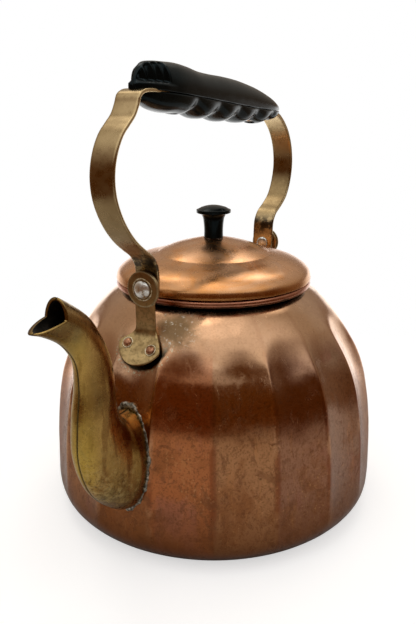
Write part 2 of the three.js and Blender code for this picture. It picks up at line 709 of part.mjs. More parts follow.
place(kettle, "body_shell", makeBody(), COPPER());
place(kettle, "neck_collar", makeCollar(), COPPER());
const spoutHalves = makeSpoutHalves();
place(kettle, "spout_left_half", spoutHalves.left, BRASS());
place(kettle, "spout_right_half", spoutHalves.right, BRASS());
for (const end of ENDS) {
  place(kettle, `${end.name}_bracket`, makeBracket(end), BRASS());
  for (const [side, which] of [[1, "left"], [-1, "right"]]) {
    place(kettle, `${end.name}_bracket_rivet_${which}`, makeBracketRivet(end, side), COPPER());
  }
  const spacer = makeFlatRing(end, STRAP.faceX + GAP, SPACER.height, SPACER.radius);
  place(kettle, `${end.name}_pivot_spacer`, spacer, BRASS());
  const disc = makeFlatRing(end, discX, PIVOT.discHeight, PIVOT.discRadius);
  place(kettle, `${end.name}_pivot_disc`, disc, BRASS());
  place(kettle, `${end.name}_pivot_rivet`, makePivotRivet(end), STEEL());
}

place(lid, "lid_dome", makeLidDome(), LID_COPPER());
place(lid, "lid_skirt", makeLidSkirt(), COPPER());
place(lid, "lid_knob", makeKnob(), BAKELITE());
place(lid, "knob_screw", makeKnobScrew(), STEEL());
place(lid, "knob_washer", makeKnobWasher(), STEEL());

place(handle, "handle_strap", makeStrap(), DARK_BRASS());
place(handle, "grip_upper_half", makeGripHalf(true), BAKELITE());
place(handle, "grip_lower_half", makeGripHalf(false), BAKELITE());
place(handle, "grip_screw_front", makeGripScrew(1), STEEL());
place(handle, "grip_screw_rear", makeGripScrew(-1), STEEL());

kettle.add(lid, handle);

export default kettle;
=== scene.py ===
"""Looks for a fluted copper stovetop kettle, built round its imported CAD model.

Shapes are worked out in millimetres in the row's frame: the origin is the middle of the flat base,
+Z is up and +X points towards the spout. The driving sizes repeat the CAD part's.
"""

import math

import bmesh
import bpy
import numpy as np
from mathutils import Matrix, Vector


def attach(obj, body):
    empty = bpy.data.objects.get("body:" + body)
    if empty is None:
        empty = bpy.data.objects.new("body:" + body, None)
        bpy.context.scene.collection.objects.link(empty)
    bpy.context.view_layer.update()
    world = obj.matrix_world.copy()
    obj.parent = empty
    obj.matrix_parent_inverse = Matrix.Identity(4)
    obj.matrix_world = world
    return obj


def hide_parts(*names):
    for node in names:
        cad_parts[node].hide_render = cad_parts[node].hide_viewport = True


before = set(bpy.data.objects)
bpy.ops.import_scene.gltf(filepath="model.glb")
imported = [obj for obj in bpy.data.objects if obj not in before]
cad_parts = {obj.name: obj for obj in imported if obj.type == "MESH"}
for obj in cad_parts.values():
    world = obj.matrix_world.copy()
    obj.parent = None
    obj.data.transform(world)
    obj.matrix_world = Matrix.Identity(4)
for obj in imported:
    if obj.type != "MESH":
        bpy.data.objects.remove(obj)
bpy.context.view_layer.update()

MM = 0.001
UP, ACROSS, FORWARD = np.eye(3)[[2, 1, 0]]

# ------------------------------------------------------------------ driving sizes, in millimetres
FLUTES = 18
FLUTE_TURN = -0.6  # degrees from the spout plane to the nearest flute's middle
FLUTE_DEPTH = 2.6
FLUTE_FOOT, FLUTE_FULL = 8.0, 30.0  # heights between which the flutes fade in
RIDGE_TOP, ARCH_TOP = 97.3, 103.3  # where the ridges and the flutes run out into the shoulder
RIDGE_EASE = 0.07  # share of half a flute that a ridge is rounded over
ARCH_EASE = 0.45
SHOULDER_FOOT = 72.3  # the shoulder's curve goes on down to here, inside the flutes
BASE_RADIUS, CORNER_RADIUS = 69.5, 15.0
BASE_RECESS, RECESS_RADIUS = 0.6, 62.0
POT_WALL = 1.5
MOUTH_RADIUS, MOUTH_HEIGHT = 45.0, 113.6
PORT_HEIGHT, PORT_HALF_HEIGHT, PORT_HALF_WIDTH = 50.0, 17.0, 8.5

BEAD_CENTRE, BEAD_HEIGHT, BEAD_RADIUS = 47.9, 115.5, 1.85
SLEEVE_INNER, SLEEVE_OUTER, SLEEVE_FOOT = 43.5, 44.6, 106.0
LID_SHEET = 1.0
SKIRT_RADIUS, SKIRT_WALL, SKIRT_FOOT, SKIRT_TOP = 43.1, 1.0, 108.5, 123.4
KNOB_FOOT, KNOB_TOP, CAP_RADIUS, CAP_RISE, BRIM = 137.3, 153.8, 8.7, 2.2, 1.8

PIVOT_HEIGHT = 124.6
STRAP_WIDTH, STRAP_THICKNESS, STRAP_FACE = 12.1, 1.6, 59.6
SPACER_X, SPACER_HEIGHT, SPACER_RADIUS = 59.9, 0.5, 6.4
EAR_X, BRACKET_THICKNESS, EAR_RADIUS = 60.7, 1.2, 7.7
DISC_X, DISC_HEIGHT, DISC_RADIUS = 62.2, 0.9, 8.1
HEAD_X, HEAD_RADIUS, HEAD_HEIGHT = 63.4, 4.1, 2.2
FAN_SLOPE = math.radians(43.0)
FAN_TOUCH = (64.5, 98.8)  # where the fan plate leans on the shoulder (x, z)
FAN_LIFT, FAN_RADIUS, FAN_BELOW = 0.45, 11.85, 10.0
FAN_TURN = math.radians(7.0)  # of the plate in its own plane, its foot towards -Y
BEND_RADIUS, NECK_HALF_WIDTH = 6.0, 5.2
RIVET_SPREAD, RIVET_DROP, RIVET_RADIUS, RIVET_HEIGHT = 6.55, 1.0, 1.95, 1.2
SHANK_RADIUS, SHANK_LENGTH = 1.2, 6.4
TAIL_DROP = 3.4  # how far the curved wall falls away under the flat plate, where the rivets' tails are
PIVOT_HOLE, PIN_RADIUS, TAIL_RADIUS, TAIL_HEIGHT = 2.3, 2.0, 3.4, 1.3

SPOUT_WALL = 1.2
SPOUT_SUNK = 0.7  # how far the halves' cut edges reach into the pot
HOOD_TOP, NOTCH, LIP_TIP = (116.9, 134.3), (117.7, 126.5), (130.6, 124.0)

SCREW_X, SCREW_RADIUS = 38.0, 2.8
SCREW_DEPTH = 2.3
FINGER_FIRST, FINGER_PITCH, FINGER_BUMPS, FINGER_DEPTH = 18.5, 20.3, 4, 2.2


# ------------------------------------------------------------------ numbers and curves
def smooth(value, low, high):
    """0 below low, 1 above high and an S curve between."""
    share = np.clip((np.asarray(value, float) - low) / (high - low), 0, 1)
    return share * share * (3 - 2 * share)


def soft_min(a, b, ease):
    """The smaller of two lengths, with the corner between them rounded over about ease."""
    return -ease * np.logaddexp(-a / ease, -b / ease)


def curve_at(points, share):
    """Points on a centripetal Catmull-Rom curve; share runs 0 to 1 evenly over the control points."""
    points = np.asarray(points, float)
    spans = len(points) - 1
    padded = np.vstack([2 * points[0] - points[1], points, 2 * points[-1] - points[-2]])
    place = np.clip(np.asarray(share, float) * spans, 0, spans - 1e-9)
    first = place.astype(int)
    t = (place - first)[..., None]
    p0, p1, p2, p3 = (padded[first + step] for step in range(4))

    def gap(a, b):
        return np.sqrt(np.maximum(np.linalg.norm(b - a, axis=-1), 1e-9))[..., None]

    d0, d1, d2 = gap(p0, p1), gap(p1, p2), gap(p2, p3)
    leave = ((p1 - p0) / d0 - (p2 - p0) / (d0 + d1) + (p2 - p1) / d1) * d1
    arrive = ((p2 - p1) / d1 - (p3 - p1) / (d1 + d2) + (p3 - p2) / d2) * d1
    return (
        p1
        + leave * t
        + (3 * (p2 - p1) - 2 * leave - arrive) * t**2
        + (2 * (p1 - p2) + leave + arrive) * t**3
    )


def spread(line, count):
    """count points at even distances along a line of points."""
    steps = np.linalg.norm(np.diff(line, axis=0), axis=1)
    distance = np.concatenate([[0], np.cumsum(steps)])
    wanted = np.linspace(0, distance[-1], count)
    return np.stack([np.interp(wanted, distance, values) for values in line.T], -1)


def along_curve(points, count):
    """count points at even distances along the smooth curve through points."""
    return spread(curve_at(points, np.linspace(0, 1, 60 * len(points))), count)


def profile_of(points):
    """A function that gives the second value of a smooth curve for any first value."""
    fine = curve_at(sorted(points), np.linspace(0, 1, 40 * len(points)))
    return lambda value: np.interp(value, fine[:, 0], fine[:, 1])


def eased(outline, radius):
    """The outline with its corners rounded over about radius."""
    points = [np.array(point, float) for point in outline]
    rounded = [points[0]]
    for before, corner, after in zip(points, points[1:], points[2:]):
        back, ahead = before - corner, after - corner
        cut = min(radius, 0.45 * np.linalg.norm(back), 0.45 * np.linalg.norm(ahead))
        start = corner + back / np.linalg.norm(back) * cut
        end = corner + ahead / np.linalg.norm(ahead) * cut
        for t in np.linspace(0, 1, 5):
            rounded.append((1 - t) ** 2 * start + 2 * t * (1 - t) * corner + t**2 * end)
    rounded.append(points[-1])
    return np.array(rounded)


def arc(centre, radius, start, end, steps):
    """Points on an arc in the plane of an outline, from start to end degrees."""
    turns = np.radians(np.linspace(start, end, steps + 1))
    return [(centre[0] + radius * math.cos(turn), centre[1] + radius * math.sin(turn)) for turn in turns]


def ripple(points, wavelength, seed):
    """Smooth values of about -1 to 1 that change over a wavelength, the same on every run."""
    random = np.random.default_rng(seed)
    total = np.zeros(points.shape[:-1])
    for _ in range(7):
        direction = random.normal(size=3)
        direction /= np.linalg.norm(direction)
        length = wavelength * random.uniform(0.7, 1.6)
        total += np.sin(points @ direction * (2 * math.pi / length) + random.uniform(0, 2 * math.pi))
    return total / 3.5


def rippled(points, depth, wavelength, seed, direction):
    """The points moved up to about depth along a direction, as ripple says."""
    return points + depth * ripple(points, wavelength, seed)[..., None] * np.asarray(direction)


def unit(vectors):
    return vectors / np.linalg.norm(vectors, axis=-1, keepdims=True)


def circled(radius, turns, height):
    """Points round the Z axis; turns are in radians."""
    return np.stack([radius * np.cos(turns), radius * np.sin(turns), height + 0 * turns], -1)


def full_turn(count):
    return np.linspace(0, 2 * math.pi, count, endpoint=False)


# ------------------------------------------------------------------ meshes
class Shape:
    """Grids of points in millimetres that together make one piece."""

    def __init__(self):
        self.points = np.zeros((0, 3))
        self.faces = []
        self.finishes = []

    def grid(self, rows, around=True, ring=False, finish=0):
        """Joins rows of points with quads. Around closes each row, ring joins the last row to the first
        and finish is the place of their material in the piece's list."""
        rows = np.asarray(rows, float)
        index = np.arange(rows.shape[0] * rows.shape[1]).reshape(rows.shape[:2]) + len(self.points)
        if around:
            index = np.hstack([index, index[:, :1]])
        if ring:
            index = np.vstack([index, index[:1]])
        corners = [index[:-1, :-1], index[:-1, 1:], index[1:, 1:], index[1:, :-1]]
        faces = np.stack(corners, -1).reshape(-1, 4).tolist()
        self.faces.extend(faces)
        self.finishes.extend([finish] * len(faces))
        self.points = np.vstack([self.points, rows.reshape(-1, 3)])
        return self

    def loft(self, rows):
        """A closed body through rings of points, each end drawn together to its middle."""
        rows = np.asarray(rows, float)
        first, last = rows[0].mean(0), rows[-1].mean(0)
        shrink = np.array([0.0, 0.5])[:, None, None]
        start = first + (rows[0] - first) * shrink
        end = last + (rows[-1] - last) * shrink[::-1]
        return self.grid(np.concatenate([start, rows, end]))

    def turned(self, outline, segments, base=(0, 0, 0), direction=(0, 0, 1), warp=None):
        """A body turned about a line through base along direction, from (radius, distance) points."""
        outline = np.asarray(outline, float)
        upright = Vector((0, 0, 1)).rotation_difference(Vector(direction)).to_matrix()
        rows = circled(outline[:, :1], full_turn(segments), outline[:, 1:])
        rows = rows @ np.array(upright).T + np.array(base, float)
        return self.grid(warp(rows) if warp else rows)

    def place(self, turn):
        """Turns the points about Z."""
        cos, sin = math.cos(turn), math.sin(turn)
        self.points = self.points @ np.array([[cos, sin, 0], [-sin, cos, 0], [0, 0, 1]])
        return self

    def mesh(self, name):
        data = bpy.data.meshes.new(name)
        data.from_pydata((self.points * MM).tolist(), [], self.faces)
        data.polygons.foreach_set("material_index", self.finishes)
        work = bmesh.new()
        work.from_mesh(data)
        bmesh.ops.remove_doubles(work, verts=work.verts, dist=0.004 * MM)
        bmesh.ops.recalc_face_normals(work, faces=work.faces)
        for face in work.faces:
            face.smooth = True
        work.to_mesh(data)
        work.free()
        return data


def add_object(name, data):
    made = bpy.data.objects.new(name, data)
    bpy.context.scene.collection.objects.link(made)
    return made


def piece(name, shape, body, slot, material, *stands_for):
    """One visible piece: its mesh, its finish, the body it moves with and the CAD nodes it stands for."""
    made = add_object(name, shape.mesh(name))
    made.data.materials.append(material)
    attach(made, body)
    if stands_for:
        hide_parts(*stands_for)
    return made


def cut_away(target, shape):
    """Cuts a closed shape out of a piece, keeping the piece's finishes."""
    cutter = add_object("cutter", shape.mesh("cutter"))
    cut = target.modifiers.new("cut", "BOOLEAN")
    cut.operation = "DIFFERENCE"
    cut.solver = "MANIFOLD"
    cut.object = cutter
    bpy.context.view_layer.update()
    solved = target.evaluated_get(bpy.context.evaluated_depsgraph_get())
    opened = bpy.data.meshes.new_from_object(solved)
    target.modifiers.clear()
    target.data = opened
    opened.name = target.name
    bpy.data.objects.remove(cutter)


# ------------------------------------------------------------------ the pot
ridge_profile = profile_of([
    (CORNER_RADIUS, 84.7), (29, 84.4), (43.4, 83.6), (57.9, 81.8), (72.3, 78.8), (82.7, 74.8), (90.9, 70.1),
    (RIDGE_TOP, 65.8), (ARCH_TOP, 61.6), (MOUTH_HEIGHT, 53.5),
])
shoulder_profile = profile_of([
    (SHOULDER_FOOT, 84.5), (82.7, 77.2), (90.9, 71.0), (RIDGE_TOP, 65.8), (ARCH_TOP, 60.3), (108.8, 54),
    (112.6, 47.6), (MOUTH_HEIGHT, 45.5),
])


def flute_drop(height, turn):
    """How far the surface lies inside the ridges at a height and a turn in degrees."""
    pitch = 360 / FLUTES
    across = (np.mod(turn - FLUTE_TURN + pitch / 2, pitch) - pitch / 2) / (pitch / 2)
    from_ridge = 1 - np.abs(across)
    from_ridge = np.sqrt(from_ridge**2 + RIDGE_EASE**2) - RIDGE_EASE * 0.5
    foot = smooth(height, FLUTE_FOOT, FLUTE_FULL)
    head = 1 - 0.5 * smooth(height, RIDGE_TOP - 10, ARCH_TOP)
    return FLUTE_DEPTH * foot * head * (1 - (1 - from_ridge) ** 2)


def pot_radius(height, turn):
    """Outside radius of the pot at a height and a turn in degrees from the spout plane."""
    height = np.asarray(height, float)
    up = np.clip(CORNER_RADIUS - height, 0, CORNER_RADIUS)
    corner = np.sqrt(CORNER_RADIUS**2 - up**2) / CORNER_RADIUS
    ridge = BASE_RADIUS + (ridge_profile(np.maximum(height, CORNER_RADIUS)) - BASE_RADIUS) * corner
    flute = ridge - flute_drop(height, turn)
    out_of_the_way = 20 * smooth(-height, -80, -60)  # low down only the flutes shape the pot
    shoulder = shoulder_profile(np.maximum(height, SHOULDER_FOOT)) + out_of_the_way
    return soft_min(flute, shoulder, ARCH_EASE)


def pot_columns():
    """Turns in degrees round the pot, closest together at the ridges."""
    steps = 10
    half_pitch = 180 / FLUTES
    across = np.sin(np.arange(-steps, steps) / steps * math.pi / 2)
    middles = FLUTE_TURN + np.arange(FLUTES) * 2 * half_pitch
    return (middles[:, None] + across * half_pitch).ravel()


def pot_rows(heights, inset):
    """Rings of the pot's wall at heights, inset from its outside, with shallow dents."""
    heights = np.asarray(heights, float)[:, None]
    turns = pot_columns()[None, :]
    radius = pot_radius(heights, turns) - inset
    rows = circled(radius, np.radians(turns), heights)
    dent = 0.16 * ripple(rows, 46, 3) + 0.05 * ripple(rows, 15, 4)
    fade = smooth(heights, 1, 12) * (1 - smooth(heights, 104, 112))
    return rows * (1 + (dent * fade / radius)[..., None] * np.array([1, 1, 0]))


def flat_rows(radii, heights):
    """Plain rings with as many points as the wall's, for the base, the throat and the floor."""
    turns = np.radians(pot_columns())
    return np.array([circled(radius, turns, height) for radius, height in zip(radii, heights)])


def make_pot(material):
    corner = CORNER_RADIUS * (1 - np.cos(np.linspace(0, math.pi / 2, 16)))
    belly_top, arches_top = 86, ARCH_TOP + 2
    wall = np.concatenate([
        corner,
        np.linspace(CORNER_RADIUS, belly_top, 44)[1:],
        np.linspace(belly_top, arches_top, 40)[1:],
        np.linspace(arches_top, MOUTH_HEIGHT, 14)[1:],
    ])
    base_radii = [0, 20, 45, RECESS_RADIUS, RECESS_RADIUS + 2, RECESS_RADIUS + 4]
    base = flat_rows(base_radii, [BASE_RECESS] * 4 + [BASE_RECESS / 3, 0])
    inside = pot_rows(np.linspace(MOUTH_HEIGHT - 3, 4, 44), POT_WALL)
    throat = flat_rows([MOUTH_RADIUS, MOUTH_RADIUS], [MOUTH_HEIGHT, MOUTH_HEIGHT - 2])
    floor = flat_rows([74, 68, 40, 0], [2.4] + [BASE_RECESS + POT_WALL] * 3)
    shape = Shape().grid(np.concatenate([base, pot_rows(wall, 0), throat, inside, floor]))
    pot = piece("copper_pot", shape, "kettle", "copper_body", material, "body_shell")
    cut_away(pot, spout_port())


def spout_port():
    """The oval opening in the pot's wall behind the spout."""
    turns = full_turn(64)
    across, up = PORT_HALF_WIDTH * np.cos(turns), PORT_HEIGHT + PORT_HALF_HEIGHT * np.sin(turns)
    return Shape().loft([np.stack([x + 0 * turns, across, up], -1) for x in (70, 100)])


def make_neck_ring(material):
    """The rolled bead round the mouth and the sleeve that holds it in the pot's neck."""
    outline = [(SLEEVE_INNER, SLEEVE_FOOT), (SLEEVE_OUTER, SLEEVE_FOOT), (SLEEVE_OUTER, BEAD_HEIGHT - 1.6)]
    outline += arc((BEAD_CENTRE, BEAD_HEIGHT), BEAD_RADIUS, -150, 110, 26)
    outline += [(SLEEVE_INNER, BEAD_HEIGHT + 1.4), (SLEEVE_INNER, SLEEVE_FOOT)]
    shape = Shape().turned(outline, 256, warp=lambda rows: rippled(rows, 0.05, 40, 11, UP))
    piece("neck_ring", shape, "kettle", "copper_body", material, "neck_collar")


# ------------------------------------------------------------------ the lid
LID_RIM, LID_RIM_HEIGHT, LID_CROWN = 49.8, 117.7, 137.0
LID_HOLE = 2.2
LID_OUTSIDE_LOW = [
    (49.75, 118.6), (49.6, 119.4), (49.1, 120.9), (48.3, 122.1), (47, 123.3), (45.2, 124.6), (43, 125.8),
    (38, 127.6), (33, 128.9), (28.5, 130.1),
]
LID_OUTSIDE_HIGH = [
    (28.5, 130.1), (27.4, 130.75), (20, 133.7), (12, 135.9), (6, LID_CROWN), (LID_HOLE, LID_CROWN),
]
LID_INSIDE = [
    (LID_HOLE, LID_CROWN - LID_SHEET), (6, LID_CROWN - LID_SHEET), (12, 134.8), (20, 132.6), (28, 129.3),
    (38, 126.5), (42.5, 124.9), (46.2, 122.6), (48, 120.7), (48.6, 119.2), (48.75, 118.5),
]


def make_lid(material):
    outside = np.concatenate([along_curve(LID_OUTSIDE_LOW, 46), along_curve(LID_OUTSIDE_HIGH, 36)])
    inside = along_curve(LID_INSIDE, 40)
    rim = arc((LID_RIM - 0.55, LID_RIM_HEIGHT + 0.5), 0.55, -180, 30, 10)
    outline = np.concatenate([np.array(rim), outside, inside, np.array(rim[:1])])

    def warp(rows):
        fade = smooth(np.hypot(rows[..., 0], rows[..., 1]), 8, 25)
        lift = (0.13 * ripple(rows, 38, 21) + 0.04 * ripple(rows, 13, 22)) * fade
        return rows + lift[..., None] * UP

    shape = Shape().turned(outline, 288, warp=warp)
    piece("lid_dome_sheet", shape, "lid", "copper_lid", material, "lid_dome")


def make_lid_skirt(material):
    inner = SKIRT_RADIUS - SKIRT_WALL
    outline = eased([(inner, SKIRT_TOP), (inner, SKIRT_FOOT), (SKIRT_RADIUS - 0.2, SKIRT_FOOT),
                     (SKIRT_RADIUS, SKIRT_FOOT + 1.2), (SKIRT_RADIUS, SKIRT_TOP), (inner, SKIRT_TOP)], 0.4)
    piece("lid_skirt_ring", Shape().turned(outline, 192), "lid", "copper_lid", material, "lid_skirt")


def make_knob(material):
    brim_top = KNOB_TOP - CAP_RISE
    brim_foot = brim_top - BRIM
    stem = along_curve([(4.9, KNOB_FOOT), (4.8, KNOB_FOOT + 3.5), (5.0, KNOB_FOOT + 7),
                        (5.5, brim_foot - 2.2), (6.3, brim_foot - 0.7)], 18)
    brim = eased([tuple(stem[-1]), (7.3, brim_foot - 0.1), (CAP_RADIUS, brim_foot + 0.1),
                  (CAP_RADIUS, brim_top - 0.1), (CAP_RADIUS - 0.55, brim_top + 0.05),
                  (CAP_RADIUS * 0.72, KNOB_TOP - 1.15)], 0.4)
    dome = along_curve([tuple(brim[-1]), (CAP_RADIUS * 0.46, KNOB_TOP - 0.5),
                        (CAP_RADIUS * 0.22, KNOB_TOP - 0.13), (0, KNOB_TOP)], 12)
    outline = np.concatenate([[(0, KNOB_FOOT), (4.6, KNOB_FOOT)], stem, brim[1:], dome[1:]])
    piece("knob", Shape().turned(outline, 96), "lid", "bakelite", material, "lid_knob")


def make_knob_fixing(material):
    """The screw and washer under the lid that hold the knob on."""
    top = LID_CROWN - LID_SHEET - 0.3
    washer = [(LID_HOLE, top - 1), (6, top - 1), (6, top), (LID_HOLE, top), (LID_HOLE, top - 1)]
    disc = Shape().turned(eased(washer, 0.15), 64)
    piece("knob_washer_disc", disc, "lid", "steel", material, "knob_washer")
    head_top = top - 1.3
    screw = eased([(0, head_top - 2.2), (2.7, head_top - 2.2), (3.6, head_top - 0.9), (3.6, head_top),
                   (1.9, head_top), (1.9, head_top + 8), (0, head_top + 8)], 0.3)
    piece("knob_screw_turned", Shape().turned(screw, 48), "lid", "steel", material, "knob_screw")


# ------------------------------------------------------------------ the spout
# Stations from the pot to the lip: the front seam (x, z), the back seam (x, z), the half width.
SPOUT_STATIONS = [
    ((69, 26.9), (69, 73.5), 13), ((77, 27), (77, 73.5), 13), ((84.5, 27.2), (84.5, 73.5), 13),
    ((94, 33.2), (86, 75), 11.2), ((105.5, 46.5), (87.3, 78), 9.8), ((111, 63), (88.6, 83.5), 8.8),
    ((110.3, 78), (89, 91), 8.2), ((108, 94), (89.5, 99.5), 7.2), ((109, 105.5), (93, 111), 5.9),
    ((115.5, 114.8), (100.5, 122.4), 5.3), ((125, 121.2), (111.8, 131.4), 5.6),
    ((134.5, 125.2), (122, 137.5), 5.9),
]
SPOUT_FRONT = [front for front, back, half in SPOUT_STATIONS]
SPOUT_BACK = [back for front, back, half in SPOUT_STATIONS]
SPOUT_HALF = [(half, 0) for front, back, half in SPOUT_STATIONS]


def spout_points(share, turn, inset):
    """Points on the spout: share along it, turn in radians from the front seam, inset from the outside."""
    front, back = curve_at(SPOUT_FRONT, share), curve_at(SPOUT_BACK, share)
    centre, reach = (front + back) / 2, (front - back) / 2
    length = np.linalg.norm(reach, axis=-1)
    reach = reach * ((length - inset) / length)[..., None]
    wide = curve_at(SPOUT_HALF, share)[..., 0] - inset
    plane = centre + reach * np.cos(turn)[..., None]
    return np.stack([plane[..., 0], wide * np.sin(turn), plane[..., 1]], -1)


def beyond_mouth(points):
    """How far points are past the mouth's two cuts, hood and lip; negative is inside the spout."""
    lip_drop = (NOTCH[1] - LIP_TIP[1]) / (LIP_TIP[0] - NOTCH[0])
    hood_lean = (NOTCH[0] - HOOD_TOP[0]) / (HOOD_TOP[1] - NOTCH[1])
    past_hood = points[..., 0] - NOTCH[0] + hood_lean * (points[..., 2] - NOTCH[1])
    over_lip = points[..., 2] - NOTCH[1] + lip_drop * (points[..., 0] - NOTCH[0])
    return np.minimum(past_hood, over_lip)


def outside_pot(points, sink):
    """How far points are outside the pot's surface, taken sink millimetres deeper."""
    turn = np.degrees(np.arctan2(points[..., 1], points[..., 0]))
    return np.hypot(points[..., 0], points[..., 1]) - pot_radius(points[..., 2], turn) + sink


def crossing(turn, inset, measure, from_end):
    """The share along the spout where measure changes sign, for each turn; the last one if from_end."""
    shares = np.linspace(0, 1, 700)
    flat = 0 * shares[:, None]
    values = measure(spout_points(shares[:, None] + 0 * turn, turn + flat, inset + flat))
    inside = values < 0
    last, first = len(shares) - 1 - np.argmax(inside[::-1], axis=0), np.argmax(~inside, axis=0) - 1
    index = last if from_end else first
    index = np.clip(index, 0, len(shares) - 2)
    columns = np.arange(len(turn))
    before, after = values[index, columns], values[index + 1, columns]
    return shares[index] + (shares[1] - shares[0]) * np.clip(before / (before - after), 0, 1)


def spout_half(side):
    """One stamped half: a channel with rounded seam edges, cut to the pot and to the mouth."""
    seam_gap, edge = 0.03, 0.42
    outer = np.linspace(0, math.pi, 72)
    seam_turns = np.array([0.0, 0.012, 0.03, 0.06])
    turns = np.concatenate([seam_turns, outer[3:-3], math.pi - seam_turns[::-1]])
    insets = edge * np.exp(-((np.minimum(turns, math.pi - turns) / 0.032) ** 2))
    inner_turns = np.linspace(math.pi, 0, 40)
    turns = np.concatenate([turns, inner_turns])
    insets = np.concatenate([insets, np.full(len(inner_turns), SPOUT_WALL)])
    start = crossing(turns, insets, lambda points: outside_pot(points, SPOUT_SUNK), True)
    end = crossing(turns, insets, beyond_mouth, False)
    steps = np.linspace(0, 1, 150)[:, None]
    shares = start + (end - start) * steps
    rows = spout_points(shares, turns + 0 * shares, insets + 0 * shares)
    rows[..., 1] = np.maximum(rows[..., 1], seam_gap)
    dents = 0.10 * ripple(rows, 21, 31) * np.sin(np.minimum(turns, math.pi))
    rows = rows + dents[..., None] * np.array([0.5, 1, 0.5])
    rows[..., 1] = np.maximum(rows[..., 1], seam_gap)
    rows[..., 1] *= side
    outer_count = len(turns) - len(inner_turns)
    inside = np.concatenate([rows[:, outer_count - 1:], rows[:, :1]], axis=1)
    shape = Shape().grid(rows[:, :outer_count], around=False).grid(inside, around=False, finish=1)
    for row in (rows[0], rows[-1]):
        shape.grid(rim_strip(row[:outer_count], row[outer_count:][::-1]), around=False)
    return shape


def rim_strip(outer, inner):
    """A strip across the sheet's cut edge, from the outer line to the inner one."""
    lengths = np.linspace(0, 1, len(outer))
    given = np.linspace(0, 1, len(inner))
    return np.array([outer, np.stack([np.interp(lengths, given, values) for values in inner.T], -1)])


def make_spout(outside, inside):
    for side, name, node in ((1, "near", "left"), (-1, "far", "right")):
        half = piece(f"spout_{name}_half", spout_half(side), "kettle", "brass_spout", outside,
                     f"spout_{node}_half")
        half.data.materials.append(inside)


def foot_line(count):
    """The closed line where the spout meets the pot, from the front seam round by +Y."""
    turns = full_turn(count)
    folded = np.minimum(turns, 2 * math.pi - turns)
    shares = crossing(folded, 0 * folded, lambda points: outside_pot(points, 0.0), True)
    line = spout_points(shares, folded, 0 * folded)
    line[:, 1] *= np.where(turns > math.pi, -1, 1)
    return line


def make_spout_solder(material):
    """The lumpy fillet of solder round the spout's foot, heaviest at its top and bottom."""
    count = 260
    line = foot_line(count)
    outward = unit(line * np.array([1, 1, 0]))
    aside = np.cross(outward, unit(np.roll(line, -1, 0) - np.roll(line, 1, 0)))
    aside = aside * np.sign(((line - line.mean(0)) * aside).sum(1))[:, None]
    turns = full_turn(count)
    from_top = np.abs(turns - math.pi)
    ends = 1.5 * np.exp(-((from_top / 0.25) ** 2)) + 1.2 * np.exp(-(((math.pi - from_top) / 0.3) ** 2))
    lumps = 1 + 0.35 * ripple(line, 5.0, 41) + 0.3 * ripple(line, 2.2, 42)
    size = (0.72 + ends) * np.clip(lumps, 0.45, 1.9)
    around = full_turn(14)
    rows = (
        line[:, None]
        + aside[:, None] * (size[:, None] * (0.45 + np.cos(around)))[..., None]
        + outward[:, None] * (0.62 * size[:, None] * np.sin(around))[..., None]
    )
    rows = rippled(rows, 0.16, 1.3, 43, outward[:, None])
    piece("spout_solder", Shape().grid(rows, ring=True), "kettle", "solder", material)


# ------------------------------------------------------------------ brackets, pivots and rivets
SLOPE_UP = np.array([-math.sin(FAN_SLOPE), 0, math.cos(FAN_SLOPE)])
SLOPE_OUT = np.array([math.cos(FAN_SLOPE), 0, math.sin(FAN_SLOPE)])
FAN_MIDDLE = np.array([FAN_TOUCH[0], 0, FAN_TOUCH[1]]) + SLOPE_OUT * (FAN_LIFT + BRACKET_THICKNESS / 2)
NECK_X = EAR_X + BRACKET_THICKNESS / 2
BEND_CUT = BEND_RADIUS * math.tan(FAN_SLOPE / 2)
BEND_ABOVE = (FAN_MIDDLE[0] - NECK_X) / math.sin(FAN_SLOPE) - BEND_CUT  # from the touching point to the bend
BEND_FOOT = FAN_MIDDLE + SLOPE_UP * BEND_ABOVE


def fan_axes(turn):
    """Up and across directions of the plate when it is turned in its own plane."""
    up = SLOPE_UP * math.cos(turn) + ACROSS * math.sin(turn)
    return up, ACROSS * math.cos(turn) - SLOPE_UP * math.sin(turn)


def bracket_line(count):
    """Middle line of the bracket's sheet: points, outward and sideways directions, half widths."""
    fan_length = BEND_ABOVE + FAN_BELOW
    bend_length = BEND_RADIUS * FAN_SLOPE
    neck_foot = BEND_FOOT[2] + (math.cos(FAN_SLOPE) + 1) * BEND_CUT
    total = fan_length + bend_length + PIVOT_HEIGHT + EAR_RADIUS - neck_foot
    bend_centre = BEND_FOOT + SLOPE_OUT * BEND_RADIUS
    points, outs, sides, halves = [], [], [], []
    for place in total * (0.5 - 0.5 * np.cos(np.linspace(0, math.pi, count))):
        turn = FAN_TURN * (1 - float(smooth(place, fan_length - 4, fan_length + 3)))
        up, side = fan_axes(turn)
        if place < fan_length:
            points.append(BEND_FOOT + up * (place - fan_length))
            outs.append(SLOPE_OUT)
        elif place < fan_length + bend_length:
            slope = FAN_SLOPE - (place - fan_length) / BEND_RADIUS
            outs.append(np.array([math.cos(slope), 0, math.sin(slope)]))
            points.append(bend_centre - outs[-1] * BEND_RADIUS)
        else:
            points.append(np.array([NECK_X, 0, neck_foot + place - fan_length - bend_length]))
            outs.append(FORWARD)
        sides.append(side)
        halves.append(bracket_half_width(place, total))
    return np.array(points), np.array(outs), np.array(sides), np.array(halves)


